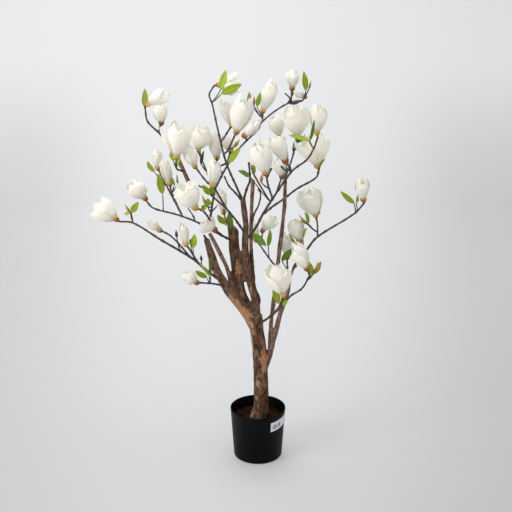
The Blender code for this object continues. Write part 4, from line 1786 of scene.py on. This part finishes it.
TWIGS = (
    Twig("stem_upper_left", 0.51, ((2, 0, 7), (-18, 4, 30)), 3.6),
    Twig("stem_spray_left", 0.61, ((18, -6, 21),), 3.2),
    Twig("pole_centre", 0.97, ((-23, -6, 30), (-17, -8, 21), (-13, -8, 31)), 4.6),
    Twig("pole_centre", 0.97, ((12, -4, 44), (8, -4, 21), (-3, 0, 54)), 5.4),
    Twig("pole_slim_centre", 0.60, ((10, -16, 40), (12, -6, 26), (6, 0, 35), (-8, 0, 14)), 4.4),
    Twig("blossom_middle_front", 0.86, ((14, 4, 28),), 4.0),
    Twig("blossom_right_front", 0.44, ((-15, -6, 1), (-14, -6, 13)), 4.4),
    Twig("stem_top_right", 0.92, ((7, -4, 14), (-15, -4, 17)), 4.0),
    Twig("stem_top_right", 0.92, ((9, 4, 14), (8, 4, 18)), 4.0),
    Twig("bough_left", 0.985, ((-8, -4, 16),), 6.0),
    Twig("bough_right", 0.98, ((14, -4, 39), (9, -2, 6)), 4.6),
    Twig("blossoms_right_back_2", 0.62, ((-3, -4, 12), (4, -4, 22)), 4.0),
    Twig("stem_cross_centre", 0.25, ((-4, -4, 6), (-8, -6, 16)), 4.4),
    Twig("pole_slim_right", 0.44, ((-24, 4, 8), (-8, 8, 14)), 4.2),
)


@dataclass
class Stemwork:
    """Every dark stem, stalk and twig, joined into one piece.

    A stalk is named after its blossom; the second of a pair ends in _2.
    """

    bones: Skeleton
    seed: int = 3
    stalk: tuple[float, float] = (4.6 * 1.12, 4.6)
    leaf_stalk: float = 2.6
    bud_stalk: float = 3.0
    stalk_sag: Place = (0, 0, -2)
    twig_taper: tuple[float, float] = (1.25, 0.9)
    fullness: float = 1.08
    sides: int = 9
    step: float = 4.6
    first_node: float = 4.0
    node_gap: tuple[float, float] = (17.0, 36.0)
    node_swell: tuple[float, float] = (0.12, 0.50)
    node_length: float = 3.6
    unevenness: float = 0.10
    uneven_length: float = 9.0
    relief: float = 0.42
    relief_sizes: tuple[float, float] = (0.0042, 0.0017)

    def build(self) -> None:
        """Draws the stems, then the stalks and twigs that grow from them."""
        stems = Piece("dark_stems")
        dice = random.Random(self.seed)
        for limb in MOULDED:
            stems.take(self._stem(self.bones.paths[limb.name], limb.thick, dice))
        for bloom in BLOOMS:
            bends = (bloom.bend,) if bloom.bend else ()
            name = bloom.name + "_2" if bloom.name in self.bones.paths else bloom.name
            path = self.bones.grow(name, bloom.limb, bloom.along, (*bends, bloom.calyx), self.step)
            stems.take(self._stem(path, self.stalk, dice))
        for twig in TWIGS:
            stems.take(self._twig(twig.limb, twig.along, twig.stops, twig.thick, dice))
        for grown in (*LEAVES, *BUDS):
            thick = self.leaf_stalk if isinstance(grown, Leaf) else self.bud_stalk
            middle = tuple(part * 0.5 + sag for part, sag in zip(grown.base, self.stalk_sag))
            rest = tuple(part - half for part, half in zip(grown.base, middle))
            stems.take(self._twig(grown.limb, grown.along, (middle, rest), thick, dice))
        coarse, fine = self.relief_sizes
        for corner in stems.shape.verts:
            rough = noise.noise(corner.co / coarse) + 0.6 * noise.noise(corner.co / fine)
            corner.co += corner.normal * rough * self.relief * MM
        show(stems.mesh(), Wire(), [limb.name for limb in MOULDED])

    def _twig(self, limb: str, along: float, stops: Sequence[Place], thick: float,
              dice: random.Random) -> bmesh.types.BMesh:
        """Draws a short twig.

        Args:
            limb: The limb that carries it.
            along: Where it starts, as a share of the limb.
            stops: Its stops in millimetres, each measured from the one before.
            thick: Its thickness in millimetres.
            dice: The random draws.

        Returns:
            A new shape.
        """
        here = Vector(self.bones.foot(limb, along))
        places = [tuple(here)]
        for stop in stops:
            here = here + Vector(stop)
            places.append(tuple(here))
        foot, tip = self.twig_taper
        return self._stem(Path(places, self.step), (thick * foot, thick * tip), dice)

    def _stem(self, path: Path, thick: tuple[float, float],
              dice: random.Random) -> bmesh.types.BMesh:
        """Draws a tapering stem with swollen nodes at uneven gaps.

        Args:
            path: Its centreline.
            thick: Its thickness in millimetres at the foot and at the tip.
            dice: The random draws.

        Returns:
            A new shape.
        """
        length = path.length / MM
        nodes = []
        here = dice.uniform(self.first_node, self.node_gap[0])
        while here < length:
            nodes.append((here, dice.uniform(*self.node_swell)))
            here += dice.uniform(*self.node_gap)
        start = dice.uniform(0, 90)

        def radius(share: float) -> float:
            """The radius in metres at this share of the stem.

            Args:
                share: From 0 at the foot to 1 at the tip.

            Returns:
                The radius.
            """
            size = (thick[0] + (thick[1] - thick[0]) * share) / 2 * self.fullness
            run = share * length
            swell = sum(high * math.exp(-((run - at) / self.node_length) ** 2)
                        for at, high in nodes)
            uneven = noise.noise(Vector((run / self.uneven_length, start, 0)))
            return size * (1 + swell + self.unevenness * uneven) * MM

        return tube(path, radius, self.sides)


@dataclass(frozen=True)
class Whorl:
    """One ring of petals; sizes and opening are shares of the blossom's own."""

    count: int
    turn: float
    size: float
    length: float
    opening: float


@dataclass(frozen=True)
class Fold:
    """How one petal differs from the next: how its edges roll and lap, and so on."""

    roll: float
    lap: float
    lean: float
    point: float
    waves: float
    flat: float
    start: Vector

    @classmethod
    def drawn(cls, dice: random.Random) -> "Fold":
        """Draws a petal's folds, in the order of the fields."""
        return cls(dice.uniform(-0.06, 0.13),
                   dice.uniform(0.04, 0.11) * dice.choice((-1, 1)),
                   dice.uniform(-0.10, 0.10), dice.uniform(0.02, 0.10),
                   dice.uniform(0.0, 0.022), dice.uniform(0.1, 0.9),
                   Vector((dice.uniform(0, 50), dice.uniform(0, 50), 0)))


@dataclass
class Blossomwork:
    """The silk petals and the calyx cups of every blossom."""

    bones: Skeleton
    seed: int = 21
    across: int = 10
    along: int = 18
    tip_rows: float = 1.5
    petal_width: float = 0.95
    stretch: float = 1.10
    root_reach: float = 4.6
    root_height: float = 2.0
    cup_sink: float = 6.0
    whorls: tuple[Whorl, ...] = (
        Whorl(3, 0.0, 1.06, 0.92, 1.30), Whorl(3, 1.05, 0.93, 1.05, 0.70),
        Whorl(2, 0.5, 0.70, 0.84, 0.35))
    loose_opening: float = 0.75
    side_drop: float = 0.13
    cup_reach: float = 9.5
    cup_height: float = 16.5
    cup_turns: int = 20
    cup_lump: float = 5.0
    left_edge: float = -60.0

    def build(self) -> None:
        """Makes the petals in two pieces, left and right, and all the calyxes in one."""
        dice = random.Random(self.seed)
        sides = {"left": Piece("petals_left"), "right": Piece("petals_right")}
        replaced: dict[str, set[str]] = {"left": set(), "right": set()}
        calyxes = Piece("calyx_cups")
        for bloom in BLOOMS:
            side = "left" if bloom.calyx[0] < self.left_edge else "right"
            replaced[side].add(bloom.name)
            stand = self._stand(bloom, dice.uniform(0, math.tau) + bloom.twist)
            self._petals(sides[side], bloom, stand, dice)
            self._calyx(calyxes, bloom, stand, dice)
        for side, piece in sides.items():
            show(piece.mesh(), Silk(), sorted(replaced[side]))
        show(calyxes.mesh(), Husk())

    @staticmethod
    def _stand(bloom: Bloom, turn: float) -> Matrix:
        """Stands a blossom on its stalk.

        Args:
            bloom: The blossom.
            turn: Its turn round its own axis, in radians.

        Returns:
            Its own frame in metres, with Z from the calyx to the tip.
        """
        axis = Vector(bloom.tip) - Vector(bloom.calyx)
        frame_turn = axis.to_track_quat("Z", "Y").to_matrix().to_4x4()
        return (Matrix.Translation(spot(bloom.calyx)) @ frame_turn
                @ Matrix.Rotation(turn, 4, "Z"))

    def _petals(self, piece: Piece, bloom: Bloom, stand: Matrix, dice: random.Random) -> None:
        """Sets the blossom's rings of petals one inside the other.

        Args:
            piece: The piece that takes the petals.
            bloom: The blossom.
            stand: Its own frame.
            dice: The random draws.
        """
        length = (Vector(bloom.tip) - Vector(bloom.calyx)).length * self.stretch
        waist = dice.uniform(0.0, 0.75)
        loose = dice.randrange(3)
        for whorl in self.whorls:
            for number in range(whorl.count):
                turn = whorl.turn + math.tau * number / whorl.count + dice.uniform(-0.16, 0.16)
                opening = bloom.opening * whorl.opening + dice.uniform(-0.08, 0.14)
                if whorl is self.whorls[0] and number == loose:
                    opening += self.loose_opening * bloom.opening
                reach = length * whorl.length * dice.uniform(0.86, 1.03)
                half = bloom.width / 2 * whorl.size
                part = self._petal(half, reach, max(0.02, opening), waist, dice)
                bmesh.ops.transform(part, matrix=stand @ Matrix.Rotation(turn, 4, "Z"),
                                    verts=part.verts)
                piece.take(part)

    def _petal(self, half: float, length: float, opening: float, waist: float,
               dice: random.Random) -> bmesh.types.BMesh:
        """Bends one cupped petal, standing on the blossom's axis.

        Args:
            half: The blossom's half width in millimetres.
            length: The petal's height over the calyx in millimetres.
            opening: How far its tip leans out, from 0 when shut.
            waist: 0 for a blossom that swells late, 1 for one that is full from its foot.
            dice: The random draws.

        Returns:
            A new shape with its own UV map.
        """
        shape = grid(self.across, self.along)
        rise = length - self.root_height
        bow = (Vector((self.root_reach, self.root_height)),
               Vector(((0.50 + 0.34 * waist) * half, self.root_height + 0.17 * rise)),
               Vector(((1.50 - 0.26 * waist + 0.16 * opening) * half,
                       self.root_height + (0.64 - 0.06 * waist) * rise)),
               Vector(((0.04 + 0.98 * opening) * half, length)))
        fold = Fold.drawn(dice)
        for corner in shape.verts:
            side, share = corner.co.x, 1 - ((1 - corner.co.y) / 2) ** self.tip_rows
            drop = fold.point * (1 - abs(side)) * 0.5 + self.side_drop * side * side
            drop *= smoothstep(0.6, 1, share)
            spread = self._spread(share)
            out, up = self._bezier(bow, share * (1 - drop))
            curl = max(out, (0.66 + fold.flat * smoothstep(0.5, 1.0, share)) * half)
            turn = side * self.petal_width * half * spread / curl
            edge = abs(side) ** 3
            ripple = noise.noise(fold.start + Vector((side * 1.1, share * 1.8, 0)))
            frill = math.sin(share * 17 + fold.start.x) * edge * fold.waves * share
            groove = 0.04 * math.exp(-(side / 0.16) ** 2) * share
            heave = half * (fold.roll * edge * share + fold.lap * side * spread
                            + 0.085 * ripple * share + frill - groove)
            swing = turn + fold.lean * share * share
            corner.co = Vector((math.sin(swing) * (curl + heave),
                                curl - out - math.cos(swing) * (curl + heave),
                                up + length * 0.035 * ripple * share)) * MM
        bmesh.ops.recalc_face_normals(shape, faces=shape.faces)
        middle = min(shape.faces, key=lambda face: (
            face.calc_center_median() - Vector((0, -half * MM, length * 0.5 * MM))).length)
        if middle.normal.y > 0:
            bmesh.ops.reverse_faces(shape, faces=shape.faces)
        return shape

    @staticmethod
    def _spread(share: float) -> float:
        """How wide a petal is.

        Args:
            share: The share of its length, from root to tip.

        Returns:
            Its half width there, 1 at its widest.
        """
        narrow = 0.24 + 0.76 * smoothstep(0.0, 0.56, share)
        top = max(0.0, (share - 0.54) / 0.46)
        return narrow * max(0.02, 1 - top ** 3.2) ** 0.56

    @staticmethod
    def _bezier(bow: Sequence[Vector], share: float) -> tuple[float, float]:
        """A point of a cubic curve.

        Args:
            bow: The curve's four control points.
            share: The share of the curve, from 0 to 1.

        Returns:
            The point, as (out, up).
        """
        back = 1 - share
        point = (bow[0] * back ** 3 + bow[1] * 3 * back ** 2 * share
                 + bow[2] * 3 * back * share ** 2 + bow[3] * share ** 3)
        return point.x, point.y

    def _calyx(self, piece: Piece, bloom: Bloom, stand: Matrix, dice: random.Random) -> None:
        """Wraps the petals' foot in a lumpy cup with two or three blunt lobes.

        Args:
            piece: The piece that takes the cup.
            bloom: The blossom.
            stand: Its own frame.
            dice: The random draws.
        """
        size = (0.82 + 0.18 * bloom.width / 60) * dice.uniform(0.9, 1.08)
        reach, high = self.cup_reach * size, self.cup_height * size * dice.uniform(0.9, 1.12)
        stand = stand @ Matrix.Translation((0, 0, -self.cup_sink * MM))
        outline = ((0.0, -3.0), (0.32, -3.0), (0.60, -1.2), (0.88, 0.16 * high),
                   (1.0, 0.40 * high), (0.99, 0.62 * high), (0.90, 0.84 * high),
                   (0.72, 0.80 * high), (0.3, 0.62 * high), (0.0, 0.55 * high))
        cup = turned(profile_of((share * reach, up) for share, up in outline), self.cup_turns)
        start = Vector((dice.uniform(0, 50), 0, 0))
        lobes = dice.choice((2, 3, 3))
        phase = dice.uniform(0, math.tau)
        for corner in cup.verts:
            turn = math.atan2(corner.co.y, corner.co.x)
            lobed = math.cos(turn * lobes + phase)
            share = corner.co.z / (high * MM)
            lumpy = noise.noise(start + corner.co / (self.cup_lump * MM))
            wide = 1 + 0.07 * lobed + 0.14 * lumpy
            corner.co.x *= wide
            corner.co.y *= wide
            if share > 0.35:
                corner.co.z += (0.34 * lobed - 0.06) * high * (share - 0.35) / 0.5 * MM
        wrap(cup, lambda place: (math.atan2(place.y, place.x) / math.tau + 0.5,
                                 place.z / (high * 1.3 * MM)))
        bmesh.ops.transform(cup, matrix=stand, verts=cup.verts)
        piece.take(cup)


@dataclass
class Foliage:
    """The printed leaves and the pointed buds."""

    bones: Skeleton
    seed: int = 5
    full_width: float = 19.0
    fullness: float = 1.02
    facing: Place = (0.0, -1.0, 0.3)
    across: int = 6
    along: int = 12
    thickness: float = 0.5
    bud_sides: int = 10
    bud_step: float = 1.6

    def build(self) -> None:
        """Makes one piece for each green and each sort of bud."""
        dice = random.Random(self.seed)
        leaves = {tint: Piece(f"leaves_{tint.name.lower()}") for tint in LeafTint}
        for leaf in LEAVES:
            leaves[leaf.tint].take(self._leaf(leaf, dice))
        for tint, piece in leaves.items():
            show(piece.mesh(), tint.value)
        buds = {kind: Piece(f"buds_{kind.name.lower()}") for kind in BudKind}
        for bud in BUDS:
            buds[bud.kind].take(self._bud(bud, dice))
        for kind, piece in buds.items():
            show(piece.mesh(), kind.value)

    def _leaf(self, leaf: Leaf, dice: random.Random) -> bmesh.types.BMesh:
        """Bends a pointed leaf, folded along its rib, drooping and a little twisted.

        Args:
            leaf: The leaf.
            dice: The random draws.

        Returns:
            A new shape.
        """
        shape = grid(self.across, self.along)
        foot = Vector(self.bones.foot(leaf.limb, leaf.along)) + Vector(leaf.base)
        axis = Vector(leaf.tip)
        shown = leaf.width * self.fullness
        width = max(shown, self.full_width * dice.uniform(0.85, 1.05))
        facing = Vector(self.facing).normalized()
        roll = math.acos(min(1.0, shown / width)) * dice.choice((-1, 1))
        side = Matrix.Rotation(roll, 3, axis) @ axis.cross(facing).normalized()
        out = side.cross(axis).normalized()
        length = axis.length
        fold = dice.uniform(0.10, 0.26)
        droop = dice.uniform(0.03, 0.13)
        twist = dice.uniform(-0.35, 0.35)
        start = dice.uniform(0, 9)
        for corner in shape.verts:
            across, share = corner.co.x, (corner.co.y + 1) / 2
            wide = width / 2 * max(0.07, math.sin(math.pi * share ** 0.84) ** 0.72)
            wave = 0.05 * math.sin(share * 11 + start) * abs(across) * width
            rise = (abs(across) * fold * wide + wave * 0.5
                    - droop * length * (share ** 2 - share * 0.4))
            turned = twist * share
            lean = side * math.cos(turned) + out * math.sin(turned)
            corner.co = (foot + axis * share + lean * across * wide + out * rise) * MM
        bmesh.ops.recalc_face_normals(shape, faces=shape.faces)
        bmesh.ops.solidify(shape, geom=shape.faces, thickness=self.thickness * MM)
        return shape

    def _bud(self, bud: Bud, dice: random.Random) -> bmesh.types.BMesh:
        """Draws a spindle with a pointed tip and a scale's edge running round it.

        Args:
            bud: The bud.
            dice: The random draws.

        Returns:
            A new shape.
        """
        foot = Vector(self.bones.foot(bud.limb, bud.along)) + Vector(bud.base)
        tip = Vector(bud.tip)
        bend = Vector((dice.uniform(-1, 1), dice.uniform(-1, 1), 0)) * tip.length * 0.06
        places = (tuple(foot), tuple(foot + tip * 0.5 + bend), tuple(foot + tip))
        path = Path(places, max(self.bud_step, tip.length / 14))
        half = bud.width / 2

        def radius(share: float) -> float:
            """The radius in metres at this share of the bud.

            Args:
                share: From 0 at the foot to 1 at the tip.

            Returns:
                The radius.
            """
            body = math.sin(math.pi * min(0.985, 0.06 + 0.94 * share) ** 0.72) ** 0.9
            scale = smoothstep(0.30, 0.34, share) * (1 - smoothstep(0.34, 0.60, share))
            return max(0.35, half * (body + 0.10 * scale)) * MM

        shape = tube(path, radius, self.bud_sides)
        wrap(shape, lambda place: (place.x / (bud.width * MM),
                                   (place / MM - foot).dot(tip) / tip.length_squared))
        return shape


def main() -> None:
    """Builds the studio and every part of the tree."""
    logging.basicConfig(level=logging.INFO, format="%(name)s: %(message)s")
    Studio().build()
    NurseryPot().build()
    bones = Skeleton()
    Woodwork(bones).build()
    Stemwork(bones).build()
    Blossomwork(bones).build()
    Foliage(bones).build()
    bpy.context.view_layer.update()


if __name__ == "__main__":
    main()
